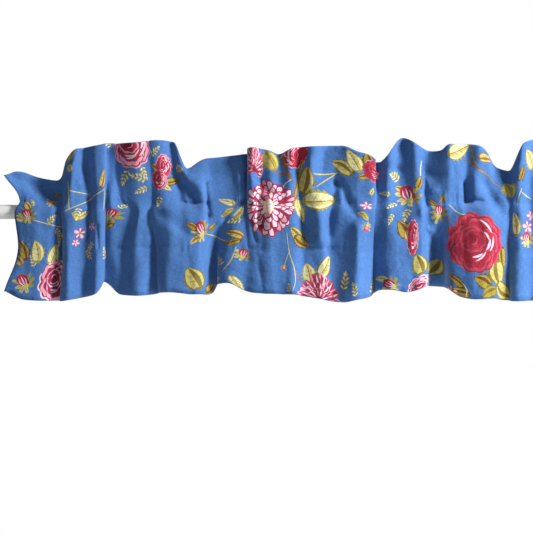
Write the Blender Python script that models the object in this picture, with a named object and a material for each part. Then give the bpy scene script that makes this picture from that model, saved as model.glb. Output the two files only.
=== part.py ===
"""A gathered window valance on its curtain rod.

The valance is one width of cloth. Its top is folded over to the back and held by two rows of
stitching: above them stands a double heading, between them is the pocket that the rod runs
through, and below them hangs a single skirt. Millimetres are used in the tables and turned
into metres at the end. X runs along the rod from its left end, Y points to the back, Z is up,
and the origin is the centre of the rod's left end.
"""

from collections import namedtuple

import bpy
import numpy as np

METRES = 0.001

# The rod
ROD_LENGTH = 1230.0
ROD_DIAMETER = 28.6
ROD_SIDES = 40
SHARP_ANGLE = np.radians(40.0)

# The cloth, as cut and sewn
CLOTH = 1.2
HEADING = 112.0
POCKET = 98.0
SKIRT = 104.0
SEWN = 2.5

# How the cloth sits on the rod: heights in millimetres, and shares of the back layer's length
ROD_CLEARANCE = 1.3
SEAM_RISE = 24.0
SEAM_LEAN = 0.15
LOW_SEAM_Z = -69.0
ROD_LEVEL = 0.32
BACK_WAVE = 7.0
BACK_PITCH = 74.0
BACK_DRIFT = 1.5
BACK_DRIFT_PITCH = 437.0
BACK_SHARE = 0.3
BACK_SHARE_PITCH = 271.0
BACK_TURN = 0.42
BACK_HANG = 0.3
BACK_MEET = 12.0
BACK_RISE = 0.72
BACK_SPREAD = 0.4
BACK_HOLD = 0.1
BACK_OFFSET = 1.5 * CLOTH

# Offsets along the cloth and weights that round a turned edge
ROUNDING = ((-7.0, 0.13), (-3.5, 0.22), (0.0, 0.3), (3.5, 0.22), (7.0, 0.13))

# The mesh: the steps along the cloth, and its rows as shares of each stretch down it
LONGEST_STEP = 22.0
LEAST_STEPS = 2
HEADING_ROWS = (0.0, 0.3, 0.66, 1.0)
POCKET_ROWS = (0.0, 0.1, 0.2, 0.32, 0.54, 0.8, 1.0)
BACK_ROWS = (0.06, 0.15, 0.24, 0.33, 0.42, 0.55, 0.72, 0.9)
SKIRT_ROWS = (0.0, 0.3, 0.65, 1.0)
PROBE = 0.5

# The two materials
COTTON = {"name": "printed_cotton", "colour": (0.06, 0.19, 0.55), "roughness": 0.85}
WHITE = {"name": "white_rod", "colour": (0.8, 0.8, 0.79), "roughness": 0.35}

# One row for each ridge, hollow and turned edge of the cloth, from its left side to its right.
# The x and y of the fold are given on the top edge, the upper stitching, the rod's level, the
# lower stitching and the hem, and z on the top edge and the hem.
Fold = namedtuple(
    "Fold",
    "top_x top_y top_z seam_x seam_y rod_x rod_y low_x low_y hem_x hem_y hem_z",
)
FOLDS = (
    Fold(41, -55, 72, 68, -18, 58, -21, 65, -20, 39, -36, -159),
    Fold(68, -29, 81, 94, -16, 94, -29, 98, -28, 80, -42, -177),
    Fold(106, -3, 69, 124, -10, 130, -25, 130, -22, 120, -36, -179),
    Fold(144, -5, 63, 147, -9, 150, -17, 149, -9, 147, -4, -179),
    Fold(151, -1, 71, 153, -10, 157, -16, 152, -4, 156, -2, -180),
    Fold(160, -17, 103, 157, -19, 152, -26, 156, -19, 148, -26, -180),
    Fold(180, -35, 125, 170, -25, 170, -34, 166, -32, 166, -40, -178),
    Fold(198, -15, 129, 208, -15, 209, -20, 202, -13, 198, -12, -172),
    Fold(224, -33, 133, 224, -24, 224, -31, 224, -27, 222, -32, -165),
    Fold(241, -28, 137, 237, -21, 238, -26, 235, -19, 231, -23, -153),
    Fold(238, -6, 138, 242, -12, 241, -15, 240, -5, 236, 0, -141),
    Fold(249, 0, 139, 252, -16, 252, -20, 249, -12, 245, -3, -146),
    Fold(260, 0, 138, 272, -10, 291, -15, 274, -9, 270, -16, -167),
    Fold(294, -24, 139, 306, -20, 310, -26, 302, -24, 306, -35, -169),
    Fold(328, -17, 143, 334, -13, 326, -17, 342, -8, 344, -6, -165),
    Fold(338, -21, 144, 341, -19, 334, -25, 345, -21, 349, -26, -163),
    Fold(356, -17, 144, 364, -24, 366, -34, 371, -34, 370, -39, -162),
    Fold(370, -3, 142, 392, -15, 392, -32, 394, -32, 394, -38, -164),
    Fold(379, -15, 139, 402, -19, 408, -31, 409, -31, 410, -38, -166),
    Fold(390, -16, 112, 413, -22, 421, -30, 420, -29, 423, -38, -166),
    Fold(403, -11, 85, 425, -23, 433, -29, 429, -27, 434, -33, -166),
    Fold(421, -9, 98, 438, -21, 441, -25, 436, -23, 441, -26, -167),
    Fold(440, -6, 108, 446, -15, 447, -17, 441, -17, 446, -20, -167),
    Fold(464, -4, 110, 466, -13, 464, -17, 450, -8, 455, -4, -164),
    Fold(488, -5, 113, 502, -11, 486, -15, 464, -2, 464, 4, -147),
    Fold(503, -13, 114, 508, -15, 496, -23, 470, -14, 465, -13, -146),
    Fold(514, -12, 116, 516, -15, 513, -24, 498, -24, 486, -30, -143),
    Fold(526, -2, 118, 523, -10, 524, -16, 522, -18, 520, -27, -159),
    Fold(524, -23, 127, 527, -19, 527, -26, 530, -22, 536, -33, -163),
    Fold(536, -35, 129, 536, -25, 535, -32, 540, -26, 550, -35, -164),
    Fold(556, -17, 126, 551, -20, 551, -24, 554, -28, 562, -36, -165),
    Fold(572, -23, 122, 570, -27, 570, -35, 574, -32, 578, -39, -165),
    Fold(588, -10, 116, 588, -24, 590, -32, 594, -31, 596, -38, -166),
    Fold(612, -25, 127, 610, -25, 612, -34, 614, -33, 614, -41, -166),
    Fold(630, -16, 130, 628, -15, 632, -18, 638, -17, 638, -29, -170),
    Fold(656, -33, 131, 656, -20, 664, -30, 670, -26, 670, -33, -175),
    Fold(690, -11, 133, 696, -15, 692, -20, 692, -15, 698, -27, -181),
    Fold(714, -17, 133, 714, -19, 716, -26, 714, -20, 718, -35, -182),
    Fold(746, -27, 121, 746, -21, 746, -28, 746, -30, 744, -43, -177),
    Fold(770, -25, 114, 770, -20, 770, -26, 766, -19, 762, -26, -174),
    Fold(783, -21, 104, 781, -18, 781, -23, 776, -12, 774, -10, -170),
    Fold(778, -1, 101, 784, -10, 778, -16, 779, -3, 778, 1, -165),
    Fold(790, -3, 100, 792, -13, 792, -19, 790, -10, 792, -17, -157),
    Fold(808, -20, 117, 808, -18, 808, -26, 810, -25, 812, -33, -157),
    Fold(836, 3, 150, 838, -11, 838, -19, 840, -22, 842, -29, -162),
    Fold(858, -17, 141, 870, -20, 872, -26, 870, -25, 864, -31, -158),
    Fold(886, -6, 124, 884, -12, 887, -17, 884, -16, 886, -16, -149),
    Fold(898, -12, 122, 900, -17, 902, -22, 893, -1, 891, 8, -150),
    Fold(912, -18, 123, 914, -19, 914, -23, 918, 2, 922, 13, -152),
    Fold(928, -31, 136, 928, -23, 929, -28, 927, -19, 929, -24, -157),
    Fold(944, -23, 136, 946, -18, 948, -29, 950, -32, 950, -39, -171),
    Fold(966, -13, 136, 965, -12, 966, -32, 974, -41, 978, -47, -176),
    Fold(990, -24, 133, 984, -20, 990, -38, 998, -43, 1000, -47, -175),
    Fold(1005, -15, 122, 1006, -16, 1012, -35, 1018, -38, 1018, -43, -174),
    Fold(1024, 1, 91, 1028, -16, 1034, -28, 1036, -28, 1030, -26, -177),
    Fold(1054, 5, 83, 1052, -14, 1053, -19, 1049, -15, 1052, -14, -179),
    Fold(1062, -17, 103, 1058, -19, 1056, -24, 1053, -22, 1053, -27, -180),
    Fold(1076, -31, 137, 1070, -24, 1070, -31, 1068, -32, 1066, -39, -180),
    Fold(1100, -16, 145, 1096, -15, 1096, -19, 1096, -17, 1096, -19, -179),
    Fold(1130, -31, 140, 1130, -21, 1132, -31, 1134, -30, 1134, -38, -176),
    Fold(1160, -10, 130, 1158, -12, 1160, -17, 1162, -14, 1164, -16, -172),
    Fold(1186, -29, 120, 1180, -17, 1186, -23, 1188, -22, 1196, -34, -170),
)

# One row for each crease across the folds, as it is seen from the front: where it starts and
# ends, how wide it is, and how far it sinks (or, if negative, stands out) in the middle.
Crease = namedtuple("Crease", "x0 z0 x1 z1 width depth")
CREASES = (
    Crease(54, 71, 136, 31, 15, 13),
    Crease(198, 90, 216, 44, 10, 5),
    Crease(248, 44, 250, 14, 11, -6),
    Crease(376, 78, 418, 22, 13, 9),
    Crease(410, 66, 432, 44, 15, -7),
    Crease(350, -4, 418, -56, 11, 3),
    Crease(520, 12, 484, -14, 10, 6),
    Crease(474, -40, 444, -140, 13, 8),
    Crease(538, 78, 570, 40, 9, 7),
    Crease(566, 24, 568, -22, 9, -5),
    Crease(670, 30, 670, -56, 14, -8),
    Crease(704, 60, 686, -44, 9, 6),
    Crease(710, 58, 742, -8, 9, 6),
    Crease(746, -30, 740, -146, 10, -6),
    Crease(784, 87, 832, 87, 9, 5),
    Crease(886, 79, 908, 75, 12, 7),
    Crease(980, 64, 984, 40, 13, -5),
    Crease(1002, 56, 1032, 0, 11, 8),
)
TABLE = {name: np.array([getattr(fold, name) for fold in FOLDS], float) for name in Fold._fields}
LEVELS = ("top", "seam", "rod", "low", "hem")


def clear_scene():
    for item in list(bpy.data.objects):
        bpy.data.objects.remove(item, do_unlink=True)


def curve(at, values, wanted):
    """A smooth curve through the values that never swings past them."""
    at = np.asarray(at, float)
    gaps = np.diff(at)
    rises = np.diff(values, axis=0) / gaps.reshape(-1, *[1] * (np.ndim(values) - 1))
    slopes = np.zeros_like(values, float)
    slopes[0] = rises[0]
    slopes[-1] = rises[-1]
    before, after = rises[:-1], rises[1:]
    same_way = before * after > 0
    means = 2.0 * before * after / np.where(same_way, before + after, 1.0)
    slopes[1:-1] = np.where(same_way, means, 0.0)
    span = np.clip(np.searchsorted(at, wanted, side="right") - 1, 0, len(gaps) - 1)
    shape = (-1, *[1] * (np.ndim(values) - 1))
    width = gaps[span].reshape(shape)
    part = ((wanted - at[span]) / gaps[span]).reshape(shape)
    return (
        (1 + 2 * part) * (1 - part) ** 2 * values[span]
        + part * (1 - part) ** 2 * width * slopes[span]
        + part**2 * (3 - 2 * part) * values[span + 1]
        + part**2 * (part - 1) * width * slopes[span + 1]
    )


def fold_places():
    """Distance of each fold from the left side, along the flat cloth."""
    steps = [
        np.hypot(np.diff(TABLE[level + "_x"]), np.diff(TABLE[level + "_y"])) for level in LEVELS
    ]
    return np.concatenate([[0.0], np.cumsum(np.mean(steps, axis=0))])


PLACES = fold_places()
WIDTH = PLACES[-1]
SEAM = HEADING
ROD = HEADING + ROD_LEVEL * POCKET
LOW = HEADING + POCKET
HEM = HEADING + POCKET + SKIRT
TUNNEL_TOP = SEAM + SEWN
TUNNEL_END = LOW - SEWN
BACK_EDGE = LOW + SEWN
ROD_REACH = ROD_DIAMETER / 2 + ROD_CLEARANCE + CLOTH / 2


def clear_of_rod(points):
    """Pushes points out of the rod, away from its axis."""
    reach = np.hypot(points[..., 1], points[..., 2])
    push = np.maximum(ROD_REACH / np.maximum(reach, 1.0), 1.0)
    points[..., 1] *= push
    points[..., 2] *= push
    return points


def soft_curve(name, along):
    """A column of the table as a curve along the cloth, its turns rounded by the cloth."""
    total = 0.0
    for offset, weight in ROUNDING:
        total = total + weight * curve(PLACES, TABLE[name], along + offset)
    return total


def level_points(along):
    """The cloth's five levels at each distance along it: levels, distances, xyz."""
    heights = {
        "top": soft_curve("top_z", along),
        "seam": SEAM_RISE + SEAM_LEAN * soft_curve("seam_y", along),
        "rod": np.zeros(len(along)),
        "low": np.full(len(along), LOW_SEAM_Z),
        "hem": soft_curve("hem_z", along),
    }
    rows = []
    for level in LEVELS:
        x = soft_curve(level + "_x", along)
        y = soft_curve(level + "_y", along)
        rows.append(np.stack([x, y, heights[level]], axis=-1))
    return np.array(rows)


def crease_depth(x, z):
    """How far the creases push the cloth back at a place seen from the front."""
    depth = np.zeros_like(x)
    for crease in CREASES:
        run_x, run_z = crease.x1 - crease.x0, crease.z1 - crease.z0
        away_x, away_z = x - crease.x0, z - crease.z0
        along = (away_x * run_x + away_z * run_z) / (run_x**2 + run_z**2)
        along = np.clip(along, 0.0, 1.0)
        gap = (away_x - along * run_x) ** 2 + (away_z - along * run_z) ** 2
        depth += crease.depth * np.exp(-gap / crease.width**2)
    return depth


def front(along, down):
    """The front layer's middle, from the top edge down to the hem: down, along, xyz."""
    points = curve((0.0, SEAM, ROD, LOW, HEM), level_points(along), down)
    points[..., 1] += crease_depth(points[..., 0], points[..., 2])
    return clear_of_rod(points)


def facing(surface, along, down, probe=PROBE):
    """The direction in which the printed face of a surface looks."""
    across = surface(along + PROBE, down) - surface(along - PROBE, down)
    fall = surface(along, down + probe) - surface(along, down - probe)
    normal = np.cross(fall, across)
    return normal / np.linalg.norm(normal, axis=-1, keepdims=True)


def back(along, part):
    """The back layer's middle, behind the rod: 0 is the upper stitching and 1 the lower."""
    ends = np.array([(SEAM + TUNNEL_TOP) / 2, TUNNEL_END])
    start, end = front(along, ends) - CLOTH * facing(front, along, ends)
    part = part.reshape(-1, 1)
    even = start[0, 0] + (start[-1, 0] - start[0, 0]) * (along - along[0]) / (along[-1] - along[0])
    rise = np.clip(np.minimum(part, 1 - part) / BACK_SPREAD - BACK_HOLD, 0.0, 1.0)
    spread = rise * rise * (3 - 2 * rise)
    x = (1 - part) * start[:, 0] + part * end[:, 0]
    x = x + spread * (even - x)

    # Over the rod, from the stitching to the level of the rod's axis
    over = np.clip(part / BACK_TURN, 0.0, 1.0)
    drift = BACK_DRIFT * np.sin(2 * np.pi * even / BACK_DRIFT_PITCH)
    share = 1 + BACK_SHARE * np.cos(2 * np.pi * even / BACK_SHARE_PITCH)
    wave = 1 + np.cos(2 * np.pi * even / BACK_PITCH + drift)
    depth = ROD_REACH + BACK_WAVE * share * wave
    angle = (1 - over) * np.arctan2(start[:, 2], start[:, 1])
    drop = (np.hypot(start[:, 1], start[:, 2]) - ROD_REACH) * (1 - over) ** 3
    reach = ROD_REACH + drop + (depth - ROD_REACH) * over**2

    # Below it, from there to the lower stitching
    fall = np.clip((part - BACK_TURN) / (1 - BACK_TURN), 0.0, 1.0)
    leave, hang, meet = (1 - fall) ** 3, 3 * fall * (1 - fall) ** 2, 3 * fall**2 * (1 - fall)
    low_y = (leave + hang) * depth + meet * (end[:, 1] + BACK_MEET) + fall**3 * end[:, 1]
    low_z = (BACK_HANG * hang + BACK_RISE * meet + fall**3) * end[:, 2]
    y = np.where(fall > 0, low_y, reach * np.cos(angle))
    z = np.where(fall > 0, low_z, reach * np.sin(angle))
    return np.stack([x, y, z], axis=-1)


def stations():
    """Distances along the cloth: each fold, and even steps between two folds."""
    found = [0.0]
    for left, right in zip(PLACES[:-1], PLACES[1:]):
        steps = max(LEAST_STEPS, int(np.ceil((right - left) / LONGEST_STEP)))
        found += [left + (right - left) * (step + 1) / steps for step in range(steps)]
    return np.array(found)


class Sheet:
    """Collects rows of points, and strips of faces between two rows."""

    def __init__(self):
        self.points = []
        self.faces = []

    def row(self, points):
        start = len(self.points)
        self.points += [tuple(point) for point in points]
        return list(range(start, start + len(points)))

    def strips(self, rows):
        """Faces between each row and the next, each cell cut from its first to its last point."""
        for upper, lower in zip(rows[:-1], rows[1:]):
            for a, b, c, d in zip(upper[:-1], lower[:-1], lower[1:], upper[1:]):
                self.faces += [(a, b, c), (a, c, d)]

    def strips_up(self, rows):
        """The same from the other side: rows run down, the faces look the other way."""
        for upper, lower in zip(rows[:-1], rows[1:]):
            for a, b, c, d in zip(upper[:-1], lower[:-1], lower[1:], upper[1:]):
                self.faces += [(a, c, b), (a, d, c)]

    def side_face(self, rows):
        """One face on each side of the cloth, through the ends of these rows."""
        self.faces.append(tuple(row[0] for row in rows))
        self.faces.append(tuple(row[-1] for row in reversed(rows)))

    def ladder(self, near, far):
        """Closes both sides of a layer, from its near rows to its far rows."""
        for step in range(len(near) - 1):
            self.side_face([near[step], far[step], far[step + 1], near[step + 1]])


def valance_mesh():
    along = stations()
    heading = HEADING * np.array(HEADING_ROWS)
    pocket = TUNNEL_TOP + (TUNNEL_END - TUNNEL_TOP) * np.array(POCKET_ROWS)
    skirt = BACK_EDGE + (HEM - BACK_EDGE) * np.array(SKIRT_ROWS)
    down = np.concatenate([heading, pocket, skirt])
    top, end = len(heading), len(heading) + len(pocket)
    middle = front(along, down)
    normal = facing(front, along, down)
    outer = middle + CLOTH / 2 * normal
    inner = middle - CLOTH / 2 * normal
    double = middle - BACK_OFFSET * normal
    back_rows = np.array(BACK_ROWS)
    behind = back(along, back_rows)
    behind_normal = facing(back, along, back_rows, PROBE / POCKET)

    sheet = Sheet()
    face = [sheet.row(points) for points in outer]
    heading_back = [sheet.row(points) for points in double[:top]]
    pocket_back = [sheet.row(points) for points in behind - CLOTH / 2 * behind_normal]
    back_edge = sheet.row(double[end])
    skirt_back = [sheet.row(points) for points in inner[end:]]
    tunnel_front = [sheet.row(points) for points in inner[top:end]]
    tunnel_back = [sheet.row(points) for points in behind + CLOTH / 2 * behind_normal]

    rear = [*heading_back, *pocket_back, back_edge, *skirt_back]
    sheet.strips([heading_back[0], *face, skirt_back[-1]])
    sheet.strips_up(rear)
    sheet.strips_up(tunnel_front)
    sheet.strips([tunnel_front[0], *tunnel_back, tunnel_front[-1]])

    sheet.ladder(face[:top], heading_back)
    sheet.ladder(face[top:end], tunnel_front)
    sheet.ladder(tunnel_back, pocket_back)
    sheet.ladder(face[end:], skirt_back)
    upper_join = [face[top - 1], heading_back[-1], pocket_back[0], tunnel_back[0]]
    sheet.side_face([*upper_join, tunnel_front[0], face[top]])
    lower_join = [face[end - 1], tunnel_front[-1], tunnel_back[-1], pocket_back[-1]]
    sheet.side_face([*lower_join, back_edge, skirt_back[0], face[end]])
    return sheet


def material(name, colour, roughness):
    made = bpy.data.materials.new(name)
    made.use_nodes = True
    shader = made.node_tree.nodes["Principled BSDF"]
    shader.inputs["Base Color"].default_value = (*colour, 1.0)
    shader.inputs["Roughness"].default_value = roughness
    shader.inputs["Metallic"].default_value = 0.0
    return made


def build_valance():
    sheet = valance_mesh()
    mesh = bpy.data.meshes.new("valance")
    mesh.from_pydata([tuple(METRES * c for c in point) for point in sheet.points], [], sheet.faces)
    mesh.materials.append(material(**COTTON))
    mesh.shade_smooth()
    made = bpy.data.objects.new("valance", mesh)
    bpy.context.scene.collection.objects.link(made)
    return made


def build_rod():
    bpy.ops.mesh.primitive_cylinder_add(
        vertices=ROD_SIDES,
        radius=METRES * ROD_DIAMETER / 2,
        depth=METRES * ROD_LENGTH,
        location=(METRES * ROD_LENGTH / 2, 0.0, 0.0),
        rotation=(0.0, np.pi / 2, 0.0),
    )
    made = bpy.context.object
    made.name = "rod"
    made.data.materials.append(material(**WHITE))
    made.data.shade_smooth()
    made.data.set_sharp_from_angle(angle=SHARP_ANGLE)
    return made


clear_scene()
build_rod()
build_valance()
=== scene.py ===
"""The looks of a gathered window valance on its curtain rod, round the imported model."""

import math
from collections import namedtuple

import bpy
import numpy as np
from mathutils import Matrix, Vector
from mathutils.bvhtree import BVHTree
from mathutils.geometry import delaunay_2d_cdt
from mathutils.kdtree import KDTree


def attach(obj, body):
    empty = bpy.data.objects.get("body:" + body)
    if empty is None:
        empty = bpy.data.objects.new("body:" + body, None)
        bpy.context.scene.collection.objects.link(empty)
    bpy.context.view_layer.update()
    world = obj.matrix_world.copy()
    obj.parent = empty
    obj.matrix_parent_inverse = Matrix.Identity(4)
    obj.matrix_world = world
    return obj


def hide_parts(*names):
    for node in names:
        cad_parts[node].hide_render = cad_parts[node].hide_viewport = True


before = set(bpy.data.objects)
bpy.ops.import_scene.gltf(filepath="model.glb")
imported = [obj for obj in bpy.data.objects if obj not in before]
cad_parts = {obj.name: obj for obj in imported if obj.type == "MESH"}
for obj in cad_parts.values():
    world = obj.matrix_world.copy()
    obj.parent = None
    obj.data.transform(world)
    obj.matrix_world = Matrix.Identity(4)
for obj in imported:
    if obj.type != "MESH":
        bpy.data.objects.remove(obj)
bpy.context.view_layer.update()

METRES = 0.001

# ---------------------------------------------------------------- the cloth, in millimetres
HEADING = 112.0
POCKET = 98.0
SKIRT = 104.0
SEAM = HEADING
ROD_LEVEL = HEADING + 0.32 * POCKET
LOW = HEADING + POCKET
HEM = HEADING + POCKET + SKIRT
SEAM_RISE = 24.0
SEAM_LEAN = 0.15
LOW_SEAM_Z = -69.0
ROD_RADIUS = 14.3
ROD_REACH = ROD_RADIUS + 0.6
THICKNESS = 0.66
FOLD_COLUMNS = (
    "top_x top_y top_z seam_x seam_y rod_x rod_y low_x low_y hem_x hem_y hem_z"
).split()
FOLDS = (
    (41, -55, 72, 68, -18, 58, -21, 65, -20, 39, -36, -159),
    (68, -29, 81, 94, -16, 94, -29, 98, -28, 80, -42, -177),
    (106, -3, 69, 124, -10, 130, -25, 130, -22, 120, -36, -179),
    (144, -5, 63, 147, -9, 150, -17, 149, -9, 147, -4, -179),
    (151, -1, 71, 153, -10, 157, -16, 152, -4, 156, -2, -180),
    (160, -17, 103, 157, -19, 152, -26, 156, -19, 148, -26, -180),
    (180, -35, 125, 170, -25, 170, -34, 166, -32, 166, -40, -178),
    (198, -15, 129, 208, -15, 209, -20, 202, -13, 198, -12, -172),
    (224, -33, 133, 224, -24, 224, -31, 224, -27, 222, -32, -165),
    (241, -28, 137, 237, -21, 238, -26, 235, -19, 231, -23, -153),
    (238, -6, 138, 242, -12, 241, -15, 240, -5, 236, 0, -141),
    (249, 0, 139, 252, -16, 252, -20, 249, -12, 245, -3, -146),
    (260, 0, 138, 272, -10, 291, -15, 274, -9, 270, -16, -167),
    (294, -24, 139, 306, -20, 310, -26, 302, -24, 306, -35, -169),
    (328, -17, 143, 334, -13, 326, -17, 342, -8, 344, -6, -165),
    (338, -21, 144, 341, -19, 334, -25, 345, -21, 349, -26, -163),
    (356, -17, 144, 364, -24, 366, -34, 371, -34, 370, -39, -162),
    (370, -3, 142, 392, -15, 392, -32, 394, -32, 394, -38, -164),
    (379, -15, 139, 402, -19, 408, -31, 409, -31, 410, -38, -166),
    (390, -16, 112, 413, -22, 421, -30, 420, -29, 423, -38, -166),
    (403, -11, 85, 425, -23, 433, -29, 429, -27, 434, -33, -166),
    (421, -9, 98, 438, -21, 441, -25, 436, -23, 441, -26, -167),
    (440, -6, 108, 446, -15, 447, -17, 441, -17, 446, -20, -167),
    (464, -4, 110, 466, -13, 464, -17, 450, -8, 455, -4, -164),
    (488, -5, 113, 502, -11, 486, -15, 464, -2, 464, 4, -147),
    (503, -13, 114, 508, -15, 496, -23, 470, -14, 465, -13, -146),
    (514, -12, 116, 516, -15, 513, -24, 498, -24, 486, -30, -143),
    (526, -2, 118, 523, -10, 524, -16, 522, -18, 520, -27, -159),
    (524, -23, 127, 527, -19, 527, -26, 530, -22, 536, -33, -163),
    (536, -35, 129, 536, -25, 535, -32, 540, -26, 550, -35, -164),
    (556, -17, 126, 551, -20, 551, -24, 554, -28, 562, -36, -165),
    (572, -23, 122, 570, -27, 570, -35, 574, -32, 578, -39, -165),
    (588, -10, 116, 588, -24, 590, -32, 594, -31, 596, -38, -166),
    (612, -25, 127, 610, -25, 612, -34, 614, -33, 614, -41, -166),
    (630, -16, 130, 628, -15, 632, -18, 638, -17, 638, -29, -170),
    (656, -33, 131, 656, -20, 664, -30, 670, -26, 670, -33, -175),
    (690, -11, 133, 696, -15, 692, -20, 692, -15, 698, -27, -181),
    (714, -17, 133, 714, -19, 716, -26, 714, -20, 718, -35, -182),
    (746, -27, 121, 746, -21, 746, -28, 746, -30, 744, -43, -177),
    (770, -25, 114, 770, -20, 770, -26, 766, -19, 762, -26, -174),
    (783, -21, 104, 781, -18, 781, -23, 776, -12, 774, -10, -170),
    (778, -1, 101, 784, -10, 778, -16, 779, -3, 778, 1, -165),
    (790, -3, 100, 792, -13, 792, -19, 790, -10, 792, -17, -157),
    (808, -20, 117, 808, -18, 808, -26, 810, -25, 812, -33, -157),
    (836, 3, 150, 838, -11, 838, -19, 840, -22, 842, -29, -162),
    (858, -17, 141, 870, -20, 872, -26, 870, -25, 864, -31, -158),
    (886, -6, 124, 884, -12, 887, -17, 884, -16, 886, -16, -149),
    (898, -12, 122, 900, -17, 902, -22, 893, -1, 891, 8, -150),
    (912, -18, 123, 914, -19, 914, -23, 918, 2, 922, 13, -152),
    (928, -31, 136, 928, -23, 929, -28, 927, -19, 929, -24, -157),
    (944, -23, 136, 946, -18, 948, -29, 950, -32, 950, -39, -171),
    (966, -13, 136, 965, -12, 966, -32, 974, -41, 978, -47, -176),
    (990, -24, 133, 984, -20, 990, -38, 998, -43, 1000, -47, -175),
    (1005, -15, 122, 1006, -16, 1012, -35, 1018, -38, 1018, -43, -174),
    (1024, 1, 91, 1028, -16, 1034, -28, 1036, -28, 1030, -26, -177),
    (1054, 5, 83, 1052, -14, 1053, -19, 1049, -15, 1052, -14, -179),
    (1062, -17, 103, 1058, -19, 1056, -24, 1053, -22, 1053, -27, -180),
    (1076, -31, 137, 1070, -24, 1070, -31, 1068, -32, 1066, -39, -180),
    (1100, -16, 145, 1096, -15, 1096, -19, 1096, -17, 1096, -19, -179),
    (1130, -31, 140, 1130, -21, 1132, -31, 1134, -30, 1134, -38, -176),
    (1160, -10, 130, 1158, -12, 1160, -17, 1162, -14, 1164, -16, -172),
    (1186, -29, 120, 1180, -17, 1186, -23, 1188, -22, 1196, -34, -170),
)

# One row for each crease across the folds, as it is seen from the front: where it starts and
# ends, how wide it is, and how far it sinks (or, if negative, stands out) in the middle.
Crease = namedtuple("Crease", "x0 z0 x1 z1 width depth")
SOLID_CREASES = (
    (54, 71, 136, 31, 15, 13),
    (198, 90, 216, 44, 10, 5),
    (248, 44, 250, 14, 11, -6),
    (376, 78, 418, 22, 13, 9),
    (410, 66, 432, 44, 15, -7),
    (350, -4, 418, -56, 11, 3),
    (520, 12, 484, -14, 10, 6),
    (474, -40, 444, -140, 13, 8),
    (538, 78, 570, 40, 9, 7),
    (566, 24, 568, -22, 9, -5),
    (670, 30, 670, -56, 14, -8),
    (704, 60, 686, -44, 9, 6),
    (710, 58, 742, -8, 9, 6),
    (746, -30, 740, -146, 10, -6),
    (784, 87, 832, 87, 9, 5),
    (886, 79, 908, 75, 12, 7),
    (980, 64, 984, 40, 13, -5),
    (1002, 56, 1032, 0, 11, 8),
)
TABLE = {name: np.array(values, float) for name, values in zip(FOLD_COLUMNS, zip(*FOLDS))}
LEVELS = ("top", "seam", "rod", "low", "hem")

# Finer creases that the solid leaves out, in the same columns
FINE_CREASES = (
    (210, 27, 206, -53, 4.5, 6),
    (224, -27, 226, -73, 4, 4),
    (398, 15, 444, 17, 4.5, 5),
    (440, 57, 446, -7, 5, 6),
    (524, 23, 476, -1, 6, 5),
    (548, 33, 554, -27, 6, 6),
    (530, -9, 542, -57, 5, 5),
    (628, 79, 638, -57, 6.5, 7),
    (646, -75, 698, -75, 5.5, 2.6),
    (702, 57, 702, 57, 9, 6),
    (880, 63, 884, 13, 5, 4),
    (898, 43, 898, 43, 8, -5),
    (872, 33, 874, -7, 6, -5),
    (962, 57, 964, 19, 5, 7),
    (966, 21, 994, 21, 5, 5),
    (260, -71, 330, -71, 5, 1.6),
    (530, -75, 554, -75, 5, 1.8),
    (886, -35, 926, -53, 5, -4),
    (907, -54, 909, -150, 13, 15),
    (650, 100, 652, 60, 7, -4),
    (676, 118, 672, 84, 10, 5),
    (330, -20, 322, -130, 9, -3.5),
    (172, 92, 168, 20, 7, -3.5),
)

CREASES = [Crease(*row) for row in SOLID_CREASES + FINE_CREASES]

# Offsets along the cloth and weights that round a turned edge
ROUNDING = ((-5.0, 0.13), (-2.5, 0.22), (0.0, 0.3), (2.5, 0.22), (5.0, 0.13))

# Shallow wrinkles: wavelengths across and down the cloth, the wave's start and its height
WRINKLES = (
    (61.0, 410.0, 0.3, 0.7),
    (43.0, -330.0, 1.9, 0.6),
    (29.0, 270.0, 4.4, 0.45),
    (19.0, -190.0, 2.7, 0.25),
    (97.0, 76.0, 5.2, 0.5),
    (-71.0, 59.0, 0.9, 0.4),
)
GATHER_PITCH = 12.5
GATHER_HEIGHT = 0.75
GATHER_REACH = 17.0
GATHER_SWINGS = ((88.0, 0.9), (53.0, 0.7))
GATHER_SHARE_PITCH = 131.0

# The layers behind the front one: how far their middles lie from the solid's middle
FRONT_OFFSET = 0.25
SEWN_OFFSET = -0.55
HEADING_OFFSET = -1.45
HEADING_EASE = 14.0
FOLD_RADIUS = (FRONT_OFFSET - HEADING_OFFSET) / 2
HEM_RADIUS = (FRONT_OFFSET - SEWN_OFFSET) / 2
HEM_TURN = 9.0
TAB = 4.0

# The pocket's back layer
BACK_LENGTH = 134.0
BACK_WAVE = 7.0
BACK_PITCH = 74.0
BACK_DRIFT = 1.5
BACK_DRIFT_PITCH = 437.0
BACK_SHARE = 0.3
BACK_SHARE_PITCH = 271.0
BACK_TURN = 0.42
BACK_HANG = 0.3
BACK_MEET = 12.0
BACK_RISE = 0.72
BACK_SPREAD = 0.4
BACK_HOLD = 0.1
BACK_RIPPLES = ((31.0, 0.9, 1.1), (17.0, 3.1, 0.5))

STRIP_START = -(SEAM + BACK_LENGTH + TAB)
STRIP_END = HEM + HEM_TURN
PROBE = 0.4

# The mesh's columns: how far the cloth turns between two, in radians, and the least and most
# millimetres. The bend is read at these distances down the front, at every step along it.
BEND_STEP = 0.6
WIDEST_STEP = 8.5
CLOSEST_STEP = 2.8
BEND_READ = 0.75
BEND_ROWS = (4.0, 60.0, SEAM, ROD_LEVEL, 175.0, LOW, 270.0, HEM - 3.0)


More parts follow.
